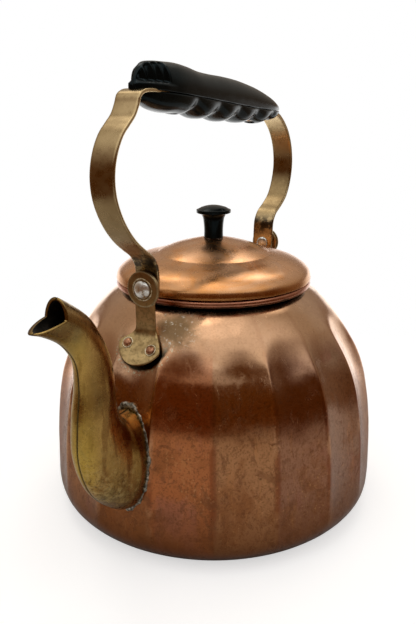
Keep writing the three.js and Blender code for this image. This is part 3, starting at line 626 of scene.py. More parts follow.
def bracket_half_width(place, total):
    """Half width at a place along the sheet: a round fan, sloping shoulders, a neck and a round ear."""
    flare_start, neck_start = 7.0, 19.0
    ear = math.sqrt(max(EAR_RADIUS**2 - (total - EAR_RADIUS - place) ** 2, 0))
    if place > total - EAR_RADIUS:
        return ear
    fan = math.sqrt(max(FAN_RADIUS**2 - (place - FAN_RADIUS) ** 2, 0)) if place < FAN_RADIUS else FAN_RADIUS
    flare = 1 - float(smooth(place, flare_start, neck_start))
    shoulder = NECK_HALF_WIDTH + (FAN_RADIUS - NECK_HALF_WIDTH) * flare
    return max(min(fan, shoulder), ear)


def strip_rows(points, outs, sides, halves, thickness, edge=0.35):
    """Cross-sections of a flat strip with rounded edges, along its middle line."""
    half_thick = thickness / 2
    across = np.linspace(-1, 1, 15)
    corner = np.linspace(0, math.pi, 7)[1:-1]
    rows = []
    for point, out, side, half in zip(points, outs, sides, halves):
        flat = max(half - edge, 0.0)
        reach = min(edge, half)
        top = [(y * flat, half_thick) for y in across]
        right = [(flat + reach * math.sin(turn), half_thick * math.cos(turn)) for turn in corner]
        section = top + right + [(-y, -z) for y, z in top] + [(-y, -z) for y, z in right]
        rows.append([point + side * y + out * z for y, z in section])
    return np.array(rows)


def make_bracket(end, turn, material):
    rows = rippled(strip_rows(*bracket_line(110), BRACKET_THICKNESS), 0.06, 12, 51, (1, 0, 1))
    shape = Shape().loft(rows).place(turn)
    piece(f"{end}_bracket_plate", shape, "kettle", "brass_bracket", material, f"{end}_bracket")


def rivet_outline(radius, height):
    """A domed head with a small straight land at its edge."""
    foot, land = -1.0, 0.15
    turns = np.linspace(0, math.pi / 2, 12)
    dome = [(radius * math.cos(turn), land + (height - land) * math.sin(turn)) for turn in turns]
    return [(0, foot), (radius * 0.6, foot), (radius * 0.6, -0.05), (radius * 0.97, -0.05)] + dome


def burr_outline(radius, tube):
    """A thin rolled-up ring of metal round a rivet."""
    return arc((radius, 0), tube, 0, 360, 10)


def make_bracket_rivets(end, turn, copper, burr):
    up, across = fan_axes(FAN_TURN)
    plate_top = BEND_FOOT + SLOPE_OUT * (BRACKET_THICKNESS / 2) - up * (BEND_ABOVE + RIVET_DROP)
    nodes = {"left": "left", "right": "right"} if turn == 0 else {"left": "right", "right": "left"}
    for side, which in ((1, "left"), (-1, "right")):
        seat = plate_top + across * side * RIVET_SPREAD
        head = Shape().turned(rivet_outline(RIVET_RADIUS, RIVET_HEIGHT), 32, seat, SLOPE_OUT)
        head.points = rippled(head.points, 0.05, 2.5, 61, (1, 1, 1))
        tail_seat = seat - SLOPE_OUT * (BRACKET_THICKNESS + FAN_LIFT + POT_WALL + TAIL_DROP)
        head.turned(rivet_outline(RIVET_RADIUS, RIVET_HEIGHT * 0.8), 24, tail_seat, -SLOPE_OUT)
        shank = [(0, -0.5), (SHANK_RADIUS, -0.5), (SHANK_RADIUS, SHANK_LENGTH), (0, SHANK_LENGTH)]
        head.turned(eased(shank, 0.1), 20, tail_seat, SLOPE_OUT).place(turn)
        node = f"{end}_bracket_rivet_{nodes[which]}"
        piece(f"{end}_rivet_{which}_head", head, "kettle", "copper_rivet", copper, node)
        ring = Shape().turned(burr_outline(RIVET_RADIUS + 0.5, 0.34), 40, seat, SLOPE_OUT)
        ring.points = rippled(ring.points, 0.12, 3.0, 62 + side, SLOPE_OUT)
        piece(f"{end}_rivet_{which}_burr", ring.place(turn), "kettle", "brass_bracket", burr)


def make_pivot(end, turn, brass, steel, burr):
    def at(x):
        return UP * PIVOT_HEIGHT + FORWARD * x

    for name, node, start, height, radius in (
        ("spacer_ring", "spacer", SPACER_X, SPACER_HEIGHT, SPACER_RADIUS),
        ("disc_washer", "disc", DISC_X, DISC_HEIGHT, DISC_RADIUS),
    ):
        outline = [(PIVOT_HOLE, 0), (radius, 0), (radius, height), (PIVOT_HOLE, height), (PIVOT_HOLE, 0)]
        shape = Shape().turned(eased(outline, 0.22), 80, at(start), FORWARD).place(turn)
        piece(f"{end}_{name}", shape, "kettle", "brass_bracket", brass, f"{end}_pivot_{node}")
    head = Shape().turned(rivet_outline(HEAD_RADIUS, HEAD_HEIGHT), 64, at(HEAD_X - 0.2), FORWARD)
    head.points = rippled(head.points, 0.12, 4.0, 71, FORWARD)
    tail_x = STRAP_FACE - STRAP_THICKNESS - 0.1
    head.turned(rivet_outline(TAIL_RADIUS, TAIL_HEIGHT), 40, at(tail_x), -FORWARD)
    shank = eased([(0, 0), (PIN_RADIUS, 0), (PIN_RADIUS, HEAD_X - tail_x), (0, HEAD_X - tail_x)], 0.1)
    head.turned(shank, 32, at(tail_x), FORWARD).place(turn)
    piece(f"{end}_pivot_rivet_head", head, "kettle", "steel", steel, f"{end}_pivot_rivet")
    ring = Shape().turned(burr_outline(HEAD_RADIUS + 0.75, 0.36), 72, at(HEAD_X - 0.25), FORWARD)
    ring.points = rippled(ring.points, 0.16, 5.0, 72, FORWARD)
    piece(f"{end}_pivot_burr", ring.place(turn), "kettle", "brass_bracket", burr)


# ------------------------------------------------------------------ the handle
STRAP_MID_X = STRAP_FACE - STRAP_THICKNESS / 2
STRAP_PATH = [
    (STRAP_MID_X, PIVOT_HEIGHT), (STRAP_MID_X, 130.5), (59.6, 134.8), (62.6, 139.2), (67.9, 143),
    (73.8, 147.6), (79.2, 153.4), (83.5, 160), (86.2, 166.6), (87.1, 173.5), (86.3, 179.6), (84, 185.6),
    (80.4, 190.9), (76, 194.7), (72.2, 198), (69.6, 202), (68, 205.2), (65, 206.8), (60, 207.3), (53, 207),
    (45, 206.3), (27, 204.8), (10, 203.4), (-10, 201.7), (-32, 200), (-54, 198.7), (-64, 196.4),
    (-71.4, 192.3), (-78, 186.2), (-82.8, 177.4), (-84.2, 167.5), (-82, 158.2), (-77, 150.1),
    (-70.3, 145.4), (-63, 141.4), (-59.7, 137), (-STRAP_MID_X, 130.5), (-STRAP_MID_X, PIVOT_HEIGHT),
]


def make_strap(material):
    half = STRAP_WIDTH / 2
    line = along_curve(STRAP_PATH, 420)
    tangent = unit(np.gradient(line, axis=0))
    points = np.stack([line[:, 0], 0 * line[:, 0], line[:, 1]], -1)
    outs = np.stack([tangent[:, 1], 0 * line[:, 0], -tangent[:, 0]], -1)
    halves = np.full(len(points), half)
    drop = half * np.sin(np.linspace(math.pi / 2, 0, 16))[:-1]
    round_half = np.sqrt(np.maximum(half**2 - drop**2, 0))
    start = points[0] - UP * drop[:, None]
    end = (points[-1] - UP * drop[:, None])[::-1]
    points = np.concatenate([start, points, end])
    outs = np.concatenate([np.repeat(outs[:1], len(drop), 0), outs, np.repeat(outs[-1:], len(drop), 0)])
    halves = np.concatenate([round_half, halves, round_half[::-1]])
    rows = strip_rows(points, outs, np.tile(ACROSS, (len(points), 1)), halves, STRAP_THICKNESS, 0.5)
    rows = rippled(rows, 0.12, 34, 81, outs[:, None])
    piece("handle_strap_band", Shape().loft(rows), "handle", "brass_strap", material, "handle_strap")


GRIP_FRONT, GRIP_BACK = 65.4, -73.0
grip_top = profile_of([
    (GRIP_FRONT, 209.6), (64.4, 211.9), (62.4, 214.9), (60.3, 217), (57.5, 218.4), (53, 218.9), (46, 219),
    (38, 218.9), (30, 218), (22, 216.6), (12, 215.8), (0, 215.3), (-15, 214.1), (-26, 212.6), (-38, 210.5),
    (-52, 207), (-65, 202.9), (GRIP_BACK, 199.9),
])
grip_under = profile_of([
    (GRIP_FRONT, 205.9), (62, 203), (59, 201.7), (54, 199.9), (47, 198.5), (40, 198), (20, 195.8),
    (0, 194.1), (-20, 193.1), (-42, 192.3), (-54, 192.8), (-64, 194.8), (GRIP_BACK, 197.6),
])
grip_half_width = profile_of([
    (GRIP_FRONT, 0.9), (64.9, 1.6), (63.6, 2.6), (61.4, 3.8), (58.4, 4.9), (54.5, 6.1), (50, 7.3), (42, 9.0),
    (30, 9.6), (10, 9.7), (-20, 9.4), (-48, 8.7), (-56, 7.8), (-62.5, 6.2), (-67, 4.6), (-70.5, 3),
    (GRIP_BACK, 1.4),
])
grip_seam = profile_of([
    (66, 207.5), (60, 207.3), (53, 207), (45, 206.3), (27, 204.8), (10, 203.4), (-10, 201.7), (-32, 200),
    (-54, 198.9), (-64, 198.6), (GRIP_BACK, 198.5),
])

FLUTED_LENGTH = 18.9  # from the nose's tip back along either side
NOSE_PITCH, NOSE_DEPTH = 4.2, 1.8
LIP_OUT, LIP_HEIGHT = 0.7, 3.1
GROOVE_HALF_WIDTH, GROOVE_DEPTH = 3.0, 1.3
HOLLOW_EASE = 0.08  # how far the hollows between the fingers are rounded at their narrow ends
SEAM_GAP, SEAM_EASE = 0.12, 0.35  # half the gap along the seam, and the rounding of its two edges


def grip_stations():
    """Places along X, even along the side's outline, and how far round the outline each one is."""
    x = np.linspace(GRIP_FRONT, GRIP_BACK, 4000)
    wide = grip_half_width(x)
    distance = wide[0] + np.concatenate([[0], np.cumsum(np.hypot(np.diff(x), np.diff(wide)))])
    wanted = np.concatenate([np.arange(distance[0], 24, 0.3), np.linspace(24, distance[-1], 190)])
    return np.interp(wanted, distance, x), wanted


def finger_hollow(x):
    """0 on the crest of each finger bump, 1 in the narrow hollow between two."""
    last = FINGER_FIRST - FINGER_PITCH * (FINGER_BUMPS - 1)
    inside = smooth(x, last - FINGER_PITCH, last - FINGER_PITCH / 2)
    inside = inside * (1 - smooth(x, FINGER_FIRST + FINGER_PITCH / 2, FINGER_FIRST + FINGER_PITCH))
    wave = np.abs(np.cos(math.pi * (x - FINGER_FIRST) / FINGER_PITCH))
    return inside * (1 - np.sqrt(wave**2 + HOLLOW_EASE)) / (1 - math.sqrt(HOLLOW_EASE))


def half_section(wide, tall, boxy, count=81):
    """Half a rounded section, evenly spaced from +wide over tall to -wide; boxy 0 is nearly an ellipse."""
    turn = np.pi * smooth(np.linspace(0, 1, 240), 0, 1)
    side = wide * np.sign(np.cos(turn)) * np.abs(np.cos(turn)) ** (0.9 - 0.35 * boxy)
    up = tall * np.sin(turn) ** (0.8 - 0.32 * boxy)
    return spread(np.stack([side, up], -1), count)


def grip_half(upper):
    """One moulded half as rings along X, closed along the seam by a flat face."""
    stations, around = grip_stations()
    seam = (grip_seam(stations) + (SEAM_GAP if upper else -SEAM_GAP))[:, None]
    wide = grip_half_width(stations)
    far = (grip_top if upper else grip_under)(stations)
    boxy = 0.35 * smooth(stations, 44, 56)
    sections = [half_section(*values) for values in zip(wide, np.abs(far - seam[:, 0]), boxy)]
    y, up = np.moveaxis(sections, -1, 0)
    x, around = stations[:, None] + 0 * y, around[:, None]
    share = up / np.maximum(up.max(1, keepdims=True), 0.01)
    slope = np.gradient(wide, stations)[:, None]
    facing = np.stack([-slope + 0 * y, np.sign(y)], -1) / np.sqrt(1 + slope**2)[..., None]
    if upper:
        groove = smooth(-stations, -32, 0) * (1 - smooth(-stations, 58, 72))
        cross = np.exp(-((y / GROOVE_HALF_WIDTH) ** 4)) * smooth(share, 0.5, 0.9)
        up = up - GROOVE_DEPTH * groove[:, None] * cross
        lip = 1 - smooth(up, LIP_HEIGHT * 0.75, LIP_HEIGHT)
        fluted = smooth(up, LIP_HEIGHT, LIP_HEIGHT + 1) * (1 - smooth(share, 0.88, 1.0))
        fluted = fluted * (1 - smooth(around, FLUTED_LENGTH, FLUTED_LENGTH + 0.8))
        hollow = NOSE_DEPTH * fluted * np.abs(np.cos(math.pi * around / NOSE_PITCH))
        push = LIP_OUT * lip * smooth(stations, 44, 52)[:, None] - hollow
    else:
        depth = FINGER_DEPTH * finger_hollow(stations)[:, None]
        up = up - depth * share
        push = -0.9 * depth * np.sqrt(share)
    push = push - SEAM_EASE * np.exp(-((up / SEAM_EASE) ** 2))
    push = push * np.minimum(np.abs(y) / 1.5, 1)
    x = x + push * facing[..., 0]
    y = y + push * facing[..., 1]
    return Shape().loft(np.stack([x, y, seam + (up if upper else -up)], -1))


def make_grip(material, steel):
    piece("grip_upper_moulding", grip_half(True), "handle", "bakelite", material, "grip_upper_half")
    lower = piece("grip_lower_moulding", grip_half(False), "handle", "bakelite", material, "grip_lower_half")
    for side, which in ((1, "front"), (-1, "rear")):
        x = side * SCREW_X
        foot = float(grip_under(x) + FINGER_DEPTH * finger_hollow(x)) + 0.6
        wide = SCREW_RADIUS + 0.3
        bore = [(0, -6), (wide, -6), (wide, SCREW_DEPTH), (0, SCREW_DEPTH)]
        cut_away(lower, Shape().turned(bore, 40, (x, 0, foot)))
        head = [(0, 0.1), (SCREW_RADIUS - 0.6, 0), (SCREW_RADIUS, 0.8), (SCREW_RADIUS, 2), (0, 2)]
        shape = Shape().turned(eased(head, 0.3), 40, (x, 0, foot))
        piece(f"grip_screw_{which}_head", shape, "handle", "steel", steel, f"grip_screw_{which}")


# ------------------------------------------------------------------ materials
class Nodes:
    """Short calls that add nodes to a tree and hand back their outputs."""

    def __init__(self, tree):
        self.tree = tree

    def add(self, kind, sockets=None, **settings):
        node = self.tree.nodes.new(kind)
        for name, value in settings.items():
            setattr(node, name, value)
        for name, source in (sockets or {}).items():
            self.link(source, node.inputs[name])
        return node

    def link(self, source, target):
        """Feeds a socket from an output, a number or a colour."""
        if isinstance(source, (int, float)):
            target.default_value = source
        elif isinstance(source, tuple):
            target.default_value = (*source, 1.0)[: len(target.default_value)]
        else:
            self.tree.links.new(source, target)

    def ramp(self, value, low, high, start=0.0, end=1.0):
        """An S curve from start at low to end at high."""
        sockets = {"Value": value, "From Min": low, "From Max": high, "To Min": start, "To Max": end}
        return self.add("ShaderNodeMapRange", sockets, interpolation_type="SMOOTHSTEP").outputs["Result"]

    def math(self, operation, first, second=0.0):
        return self.add("ShaderNodeMath", {0: first, 1: second}, operation=operation).outputs[0]

    def plus(self, first, second):
        return self.math("ADD", first, second)

    def times(self, first, *others):
        for other in others:
            first = self.math("MULTIPLY", first, other)
        return first

    def away(self, value, middle):
        """How far a value is from a middle, either way."""
        return self.math("ABSOLUTE", self.math("SUBTRACT", value, middle))

    def blend(self, first, second, share):
        """A colour between first and second."""
        sockets = {"Factor": share, 6: first, 7: second}
        return self.add("ShaderNodeMix", sockets, data_type="RGBA").outputs[2]

    def vector(self, operation, first, second=(0, 0, 0)):
        node = self.add("ShaderNodeVectorMath", {0: first, 1: second}, operation=operation)
        return node.outputs["Value" if operation in ("DISTANCE", "DOT_PRODUCT", "LENGTH") else "Vector"]

    def axis(self, source, name):
        return self.add("ShaderNodeSeparateXYZ", {0: source}).outputs[name]


class Finish(Nodes):
    """A material under construction. Its noises are sized in millimetres."""

    def __init__(self, name, metallic, roughness, specular=0.5):
        self.material = bpy.data.materials.new(name)
        self.material.use_nodes = True
        super().__init__(self.material.node_tree)
        self.shader = self.tree.nodes["Principled BSDF"]
        self.set("Metallic", metallic)
        self.set("Roughness", roughness)
        self.set("Specular IOR Level", specular)
        self.place = self.add("ShaderNodeTexCoord").outputs["Object"]

    def set(self, name, source):
        self.link(source, self.shader.inputs[name])

    def stretched(self, scale):
        return self.add("ShaderNodeMapping", {"Vector": self.place, "Scale": scale}).outputs[0]

    def noise(self, size, detail, roughness, distortion=0.0, stretch=(1, 1, 1), shift=0.0):
        """Cloudy noise whose features are about size across, longer where stretch is small."""
        sockets = {"Vector": self.stretched(stretch), "W": shift, "Scale": 1 / (size * MM),
                   "Detail": detail, "Roughness": roughness, "Distortion": distortion}
        return self.add("ShaderNodeTexNoise", sockets, noise_dimensions="4D").outputs["Fac"]

    def cells(self, size, shift):
        """Distance from the nearest of scattered points that are about size apart, as a share of size."""
        sockets = {"Vector": self.place, "W": shift, "Scale": 1 / (size * MM)}
        return self.add("ShaderNodeTexVoronoi", sockets, voronoi_dimensions="4D").outputs["Distance"]

    def along(self, name):
        """Where the surface lies along one axis of the row's frame."""
        return self.times(self.axis(self.place, name), 1 / MM)

    def heading(self):
        """Angle round the kettle's axis in degrees, 0 towards the spout."""
        turn = self.math("ARCTAN2", self.axis(self.place, "Y"), self.axis(self.place, "X"))
        return self.times(turn, 180 / math.pi)

    def distance(self, point):
        """Distance from a point of the row's frame."""
        metres = tuple(float(value) * MM for value in point)
        return self.times(self.vector("DISTANCE", self.place, metres), 1 / MM)

    def stain(self, tint, *shares):
        """Lays a tint over the colour so far, as strongly as the shares multiplied together."""
        self.colour = self.blend(self.colour, tint, self.times(*shares))

    def bump(self, height, strength, depth):
        """Adds relief of about depth to what has been added already."""
        sockets = {"Strength": strength, "Distance": depth * MM, "Height": height}
        normal = self.shader.inputs["Normal"]
        if normal.is_linked:
            sockets["Normal"] = normal.links[0].from_socket
        self.link(self.add("ShaderNodeBump", sockets).outputs["Normal"], normal)

    def dent(self, hollows, strength, depth):
        self.bump(self.math("SUBTRACT", 1.0, hollows), strength, depth)

    def done(self, roughness=None):
        self.set("Base Color", self.colour)
        if roughness is not None:
            self.set("Roughness", roughness)
        return self.material


SMEAR_PLACE = (55, 12, 106)  # old solder on the shoulder beside the front bracket
PLATE_PLACE = (63.2, -0.2, 100.2)  # middle of the front bracket's plate
# Painted reflections on the facets between two ridges, a tint for each: the heading of the facet's middle,
# its colour, how strong.
FACET_PAINTED_REFLECTIONS = [
    (19.4, (0.62, 0.20, 0.075), 0.55), (39.4, (0.58, 0.33, 0.17), 0.45), (59.4, (0.36, 0.20, 0.14), 0.6),
    (79.4, (0.34, 0.24, 0.19), 0.55), (-20.6, (0.50, 0.24, 0.11), 0.5), (139.4, (0.60, 0.22, 0.08), 0.5),
    (-120.6, (0.40, 0.22, 0.14), 0.5), (-60.6, (0.56, 0.30, 0.15), 0.5),
]


def copper_pot_finish():
    """Aged copper: pink and clean on the shoulder, red-brown, streaked and pitted low down, with painted
    reflections on the facets, painted highlights and dark lines on the ridges, and painted shade under the
    bead, under the bracket plate and towards the foot.
    """
    look = Finish("aged copper", 1.0, 0.15)
    height = look.along("Z")
    heading = look.heading()
    clouds = look.noise(34, 5, 0.6, 0.4)
    wander = look.plus(height, look.times(clouds, 22))
    look.colour = look.blend((0.56, 0.24, 0.095), (0.60, 0.35, 0.20), look.ramp(wander, 74, 104))
    look.colour = look.blend((0.41, 0.15, 0.052), look.colour, look.ramp(wander, 44, 84))
    look.stain((0.66, 0.42, 0.27), look.ramp(clouds, 0.52, 0.66), look.ramp(height, 50, 96, 0.15, 0.7))
    body = look.ramp(height, 102, 88)
    # Painted reflection: each facet below the arches is tinted by the way it faces.
    for middle, tint, strength in FACET_PAINTED_REFLECTIONS:
        off = look.away(heading, middle)
        look.stain(tint, look.ramp(off, 9.2, 10.4, strength, 0.0), body)
    brown = look.noise(20, 4, 0.6, 0.8, shift=3)
    look.stain((0.30, 0.105, 0.035), look.ramp(brown, 0.46, 0.66, 0.0, 0.7), look.ramp(wander, 96, 50))
    streaks = look.noise(4.5, 5, 0.7, 0.2, (1, 1, 0.13), 1.7)
    look.stain((0.62, 0.27, 0.10), look.ramp(streaks, 0.54, 0.72), look.ramp(wander, 60, 100, 0.6, 0.12))
    # Painted highlights and painted dark lines along the ridges, light or dark as a noise says.
    half_pitch = 180 / FLUTES
    ridge = look.math("PINGPONG", look.plus(heading, 360 - half_pitch - FLUTE_TURN), half_pitch)
    edges = look.times(look.ramp(ridge, 1.6, 0.5), look.ramp(height, 12, 24),
                       look.ramp(height, 60, 92, 1.0, 0.2))
    tone = look.noise(30, 3, 0.6, shift=16)
    look.stain((0.24, 0.06, 0.024), edges, look.ramp(tone, 0.44, 0.52, 0.6, 0.0))
    look.stain((0.70, 0.38, 0.20), edges, look.ramp(tone, 0.46, 0.56, 0.0, 0.6))
    rubbed = look.times(look.ramp(look.noise(1.3, 5, 0.75, shift=18), 0.54, 0.66),
                        look.ramp(look.noise(13, 3, 0.6, shift=19), 0.45, 0.6))
    look.stain((0.78, 0.40, 0.17), rubbed, look.ramp(height, 20, 80, 0.85, 0.15))
    scratches = look.ramp(look.noise(1.6, 4, 0.7, 0.0, (1, 1, 0.05), 20), 0.58, 0.72)
    look.stain((0.74, 0.36, 0.15), scratches, look.ramp(height, 30, 80, 0.45, 0.08))
    mauve = look.ramp(look.noise(18, 4, 0.6, 0.6, (1, 1, 0.5), 21), 0.54, 0.68, 0.0, 0.5)
    look.stain((0.42, 0.17, 0.12), mauve, look.ramp(height, 86, 100, 1.0, 0.2))
    speckle = look.ramp(look.noise(0.9, 3, 0.6, shift=24), 0.50, 0.62, 0.0, 0.5)
    look.stain((0.19, 0.075, 0.03), speckle, look.ramp(height, 70, 100, 1.0, 0.25))
    blotch = look.ramp(look.noise(6.5, 5, 0.7, 1.4, (1, 1, 0.6), 25), 0.53, 0.60, 0.0, 0.5)
    look.stain((0.24, 0.10, 0.045), blotch, look.ramp(height, 62, 90, 1.0, 0.1))
    grime = look.noise(9, 6, 0.7, 1.0, shift=5)
    look.stain((0.10, 0.04, 0.016), look.ramp(grime, 0.52, 0.72), look.ramp(height, 8, 50, 0.7, 0.1))
    # Painted shade: darker towards the foot, for the shaded floor near the pot that the low wall reflects.
    look.stain((0.16, 0.055, 0.018), look.ramp(look.plus(height, look.times(clouds, 10)), 8, 44, 0.85, 0.0))
    pits = look.ramp(look.cells(7.5, shift=2), 0.10, 0.05)
    pits = look.times(pits, look.ramp(look.noise(14, 2, 0.5, shift=4), 0.5, 0.6))
    look.stain((0.03, 0.014, 0.008), pits, 0.85)
    # Flux at the bead's joint and painted shade under the bead: the top of the wall is darkened.
    under_bead = look.ramp(look.plus(height, look.times(look.noise(6, 4, 0.6, shift=6), 5)), 115.6, 117.4)
    look.stain((0.035, 0.028, 0.018), under_bead)
    smear_edge = look.times(look.noise(5, 5, 0.7, 1.0, shift=7), 14)
    smear = look.ramp(look.plus(look.distance(SMEAR_PLACE), smear_edge), 20, 11)
    look.stain((0.24, 0.165, 0.08), smear, 0.75)
    flecks = look.times(smear, look.ramp(look.noise(1.7, 4, 0.7, shift=17), 0.57, 0.64))
    look.stain((0.85, 0.84, 0.74), flecks)
    from_plate = look.plus(look.distance(PLATE_PLACE), look.times(look.noise(3, 4, 0.7, shift=22), 1.6))
    below = look.ramp(height, 103, 96)
    crumbs = look.times(look.ramp(from_plate, 16.2, 15.4),
                        look.ramp(look.noise(1.1, 3, 0.6, shift=23), 0.52, 0.6))
    look.stain((0.62, 0.56, 0.40), crumbs, below)
    # Flux and a painted shadow: a dark ring on the wall under the bracket plate's lower edge.
    flux_and_shade = look.times(look.ramp(from_plate, 14.6, 13.2), below)
    look.stain((0.03, 0.024, 0.014), flux_and_shade)
    roughness = look.ramp(look.noise(7, 6, 0.65, shift=11), 0.35, 0.7, 0.13, 0.22)
    for rougher in (look.ramp(wander, 58, 92, 0.05, 0.0), look.times(smear, 0.35), look.times(blotch, 0.16)):
        roughness = look.plus(roughness, rougher)
    look.bump(look.noise(1.0, 3, 0.7, 0.0, (1, 1, 0.06), 9), 0.05, 0.03)
    look.bump(look.noise(2.2, 6, 0.7, shift=12), 0.08, 0.05)
    look.bump(look.noise(16, 2, 0.5, shift=13), 0.16, 0.2)
    look.dent(pits, 0.5, 0.12)
    return look.done(roughness)


def copper_ring_finish():
    """The red-brown rolled bead, with flux and painted shade darkening its underside."""
    look = Finish("rolled copper bead", 1.0, 0.28)
    height = look.along("Z")
    look.colour = look.blend((0.50, 0.22, 0.13), (0.40, 0.16, 0.10),
                             look.ramp(look.noise(20, 4, 0.6), 0.4, 0.62))
    # Flux and painted shade: the underside of the bead is darkened.
    flux_and_shade = look.plus(height, look.times(look.noise(7, 5, 0.65, 0.6, shift=2), 3.4))
    look.colour = look.blend((0.03, 0.025, 0.018), look.colour, look.ramp(flux_and_shade, 115.6, 117.0))
    look.bump(look.noise(3, 5, 0.6, shift=3), 0.18, 0.08)
    return look.done(look.ramp(look.noise(6, 5, 0.6, shift=4), 0.4, 0.65, 0.22, 0.38))


def copper_lid_finish():
    """Peach coloured copper, softer than the pot, with orange toning and darker orange brown towards the
    rim.
    """
    look = Finish("lid copper", 1.0, 0.26)
    height = look.along("Z")
    clouds = look.noise(30, 4, 0.55, 0.6, shift=1)
    look.colour = look.blend((0.74, 0.415, 0.23), (0.65, 0.335, 0.155), look.ramp(clouds, 0.38, 0.64))
    toning = look.noise(22, 4, 0.6, 1.2, (1, 1, 2.0), 4)
    look.stain((0.70, 0.29, 0.08), look.ramp(toning, 0.46, 0.66, 0.0, 0.7))
    rim = look.ramp(look.plus(height, look.times(clouds, 3)), 125.5, 119.5)
    look.stain((0.50, 0.22, 0.06), rim, 0.85)
    pits = look.ramp(look.cells(6, shift=3), 0.085, 0.04)
    pits = look.times(pits, look.ramp(look.noise(17, 2, 0.5, shift=6), 0.52, 0.6))
    look.stain((0.12, 0.05, 0.02), pits, 0.8)
    look.bump(look.noise(1.6, 5, 0.7, shift=7), 0.06, 0.04)
    look.bump(look.noise(11, 3, 0.5, shift=8), 0.16, 0.2)
    look.dent(pits, 0.4, 0.12)
    return look.done(look.ramp(look.noise(9, 6, 0.65, 0.5, shift=5), 0.35, 0.68, 0.23, 0.31))


def copper_rivet_finish():
    look = Finish("rivet copper", 1.0, 0.3)
    look.colour = look.blend((0.58, 0.29, 0.17), (0.34, 0.15, 0.08),
                             look.ramp(look.noise(1.8, 4, 0.6), 0.45, 0.65))
    look.bump(look.noise(0.8, 4, 0.6, shift=2), 0.35, 0.08)
    return look.done(look.ramp(look.noise(1.2, 4, 0.6, shift=3), 0.4, 0.6, 0.24, 0.42))


def brass_spout_finish():
    """Gold brown brass: a painted yellow highlight along the front seam, brown streaks, pitted on the lower
    bulge, with painted shade by the pot.
    """
    look = Finish("aged spout brass", 1.0, 0.34)
    height = look.along("Z")
    clouds = look.noise(17, 5, 0.6, 0.8, (1, 1, 0.5))
    look.colour = look.blend((0.54, 0.33, 0.10), (0.38, 0.225, 0.065), look.ramp(clouds, 0.38, 0.62))
    brown = look.noise(9, 4, 0.6, 0.5, (1, 1, 0.22), 2)
    look.stain((0.30, 0.14, 0.04), look.ramp(brown, 0.46, 0.62, 0.0, 0.85))
    lines = look.ramp(look.noise(3.2, 4, 0.65, 0.3, (1, 1, 0.1), 14), 0.49, 0.60, 0.0, 0.7)
    look.stain((0.25, 0.125, 0.035), lines)
    # Painted highlight: the front of the spout is lit yellow, most strongly low down.
    front = look.ramp(look.along("X"), 104, 111.5)
    look.stain((0.72, 0.50, 0.09), front, look.ramp(height, 40, 100, 0.85, 0.35))
    green = look.noise(24, 3, 0.5, 0.5, shift=6)
    look.stain((0.30, 0.25, 0.10), look.ramp(green, 0.54, 0.72, 0.0, 0.55))
    low = look.ramp(look.plus(height, look.times(clouds, 20)), 86, 50)
    pits = look.ramp(look.cells(1.9, shift=1), 0.34, 0.12)
    patch = look.ramp(look.noise(8, 3, 0.6, shift=9), 0.44, 0.58)
    pits = look.times(pits, patch, look.ramp(low, 0, 1, 0.12, 1.0))
    look.stain((0.13, 0.08, 0.03), pits, 0.8)
    speckle = look.times(look.ramp(look.noise(0.9, 3, 0.6, shift=15), 0.50, 0.60),
                         look.ramp(low, 0, 1, 0.2, 0.75))
    look.stain((0.15, 0.085, 0.025), speckle, look.ramp(look.noise(11, 3, 0.6, shift=16), 0.4, 0.6))
    worn = look.times(look.ramp(look.noise(3, 5, 0.7, shift=10), 0.5, 0.62), low, 0.6)
    look.stain((0.72, 0.52, 0.20), worn)
    # Painted shade where the spout's foot meets the pot, darker brown low down.
    by_pot = look.ramp(look.plus(look.along("X"), look.times(clouds, 9)), 89, 98, 0.8, 0.0)
    look.stain((0.24, 0.125, 0.03), by_pot, look.ramp(height, 78, 66))
    mouth = look.ramp(look.plus(height, look.times(clouds, 8)), 116, 128, 0.0, 0.65)
    look.stain((0.20, 0.135, 0.06), mouth)
    seam = look.ramp(look.math("ABSOLUTE", look.along("Y")), 0.7, 0.2)
    look.stain((0.07, 0.05, 0.02), seam, 0.85)
    roughness = look.ramp(look.noise(4, 6, 0.7, shift=11), 0.35, 0.7, 0.20, 0.38)
    look.bump(look.noise(1.4, 6, 0.7, shift=12), 0.25, 0.10)
    look.bump(look.noise(8, 3, 0.5, shift=13), 0.3, 0.25)
    look.dent(pits, 0.6, 0.16)
    return look.done(roughness)


def spout_inside_finish():
    """Near black inside the spout: painted shade for its dark hollow."""
    look = Finish("painted shade spout inside", 0.0, 0.6, 0.3)
    look.colour = look.blend((0.012, 0.010, 0.008), (0.05, 0.04, 0.03),
                             look.ramp(look.noise(4, 5, 0.6), 0.45, 0.7))
    look.bump(look.noise(1.2, 5, 0.7, shift=2), 0.4, 0.15)
    return look.done(look.ramp(look.noise(3, 4, 0.6, shift=3), 0.4, 0.65, 0.45, 0.75))


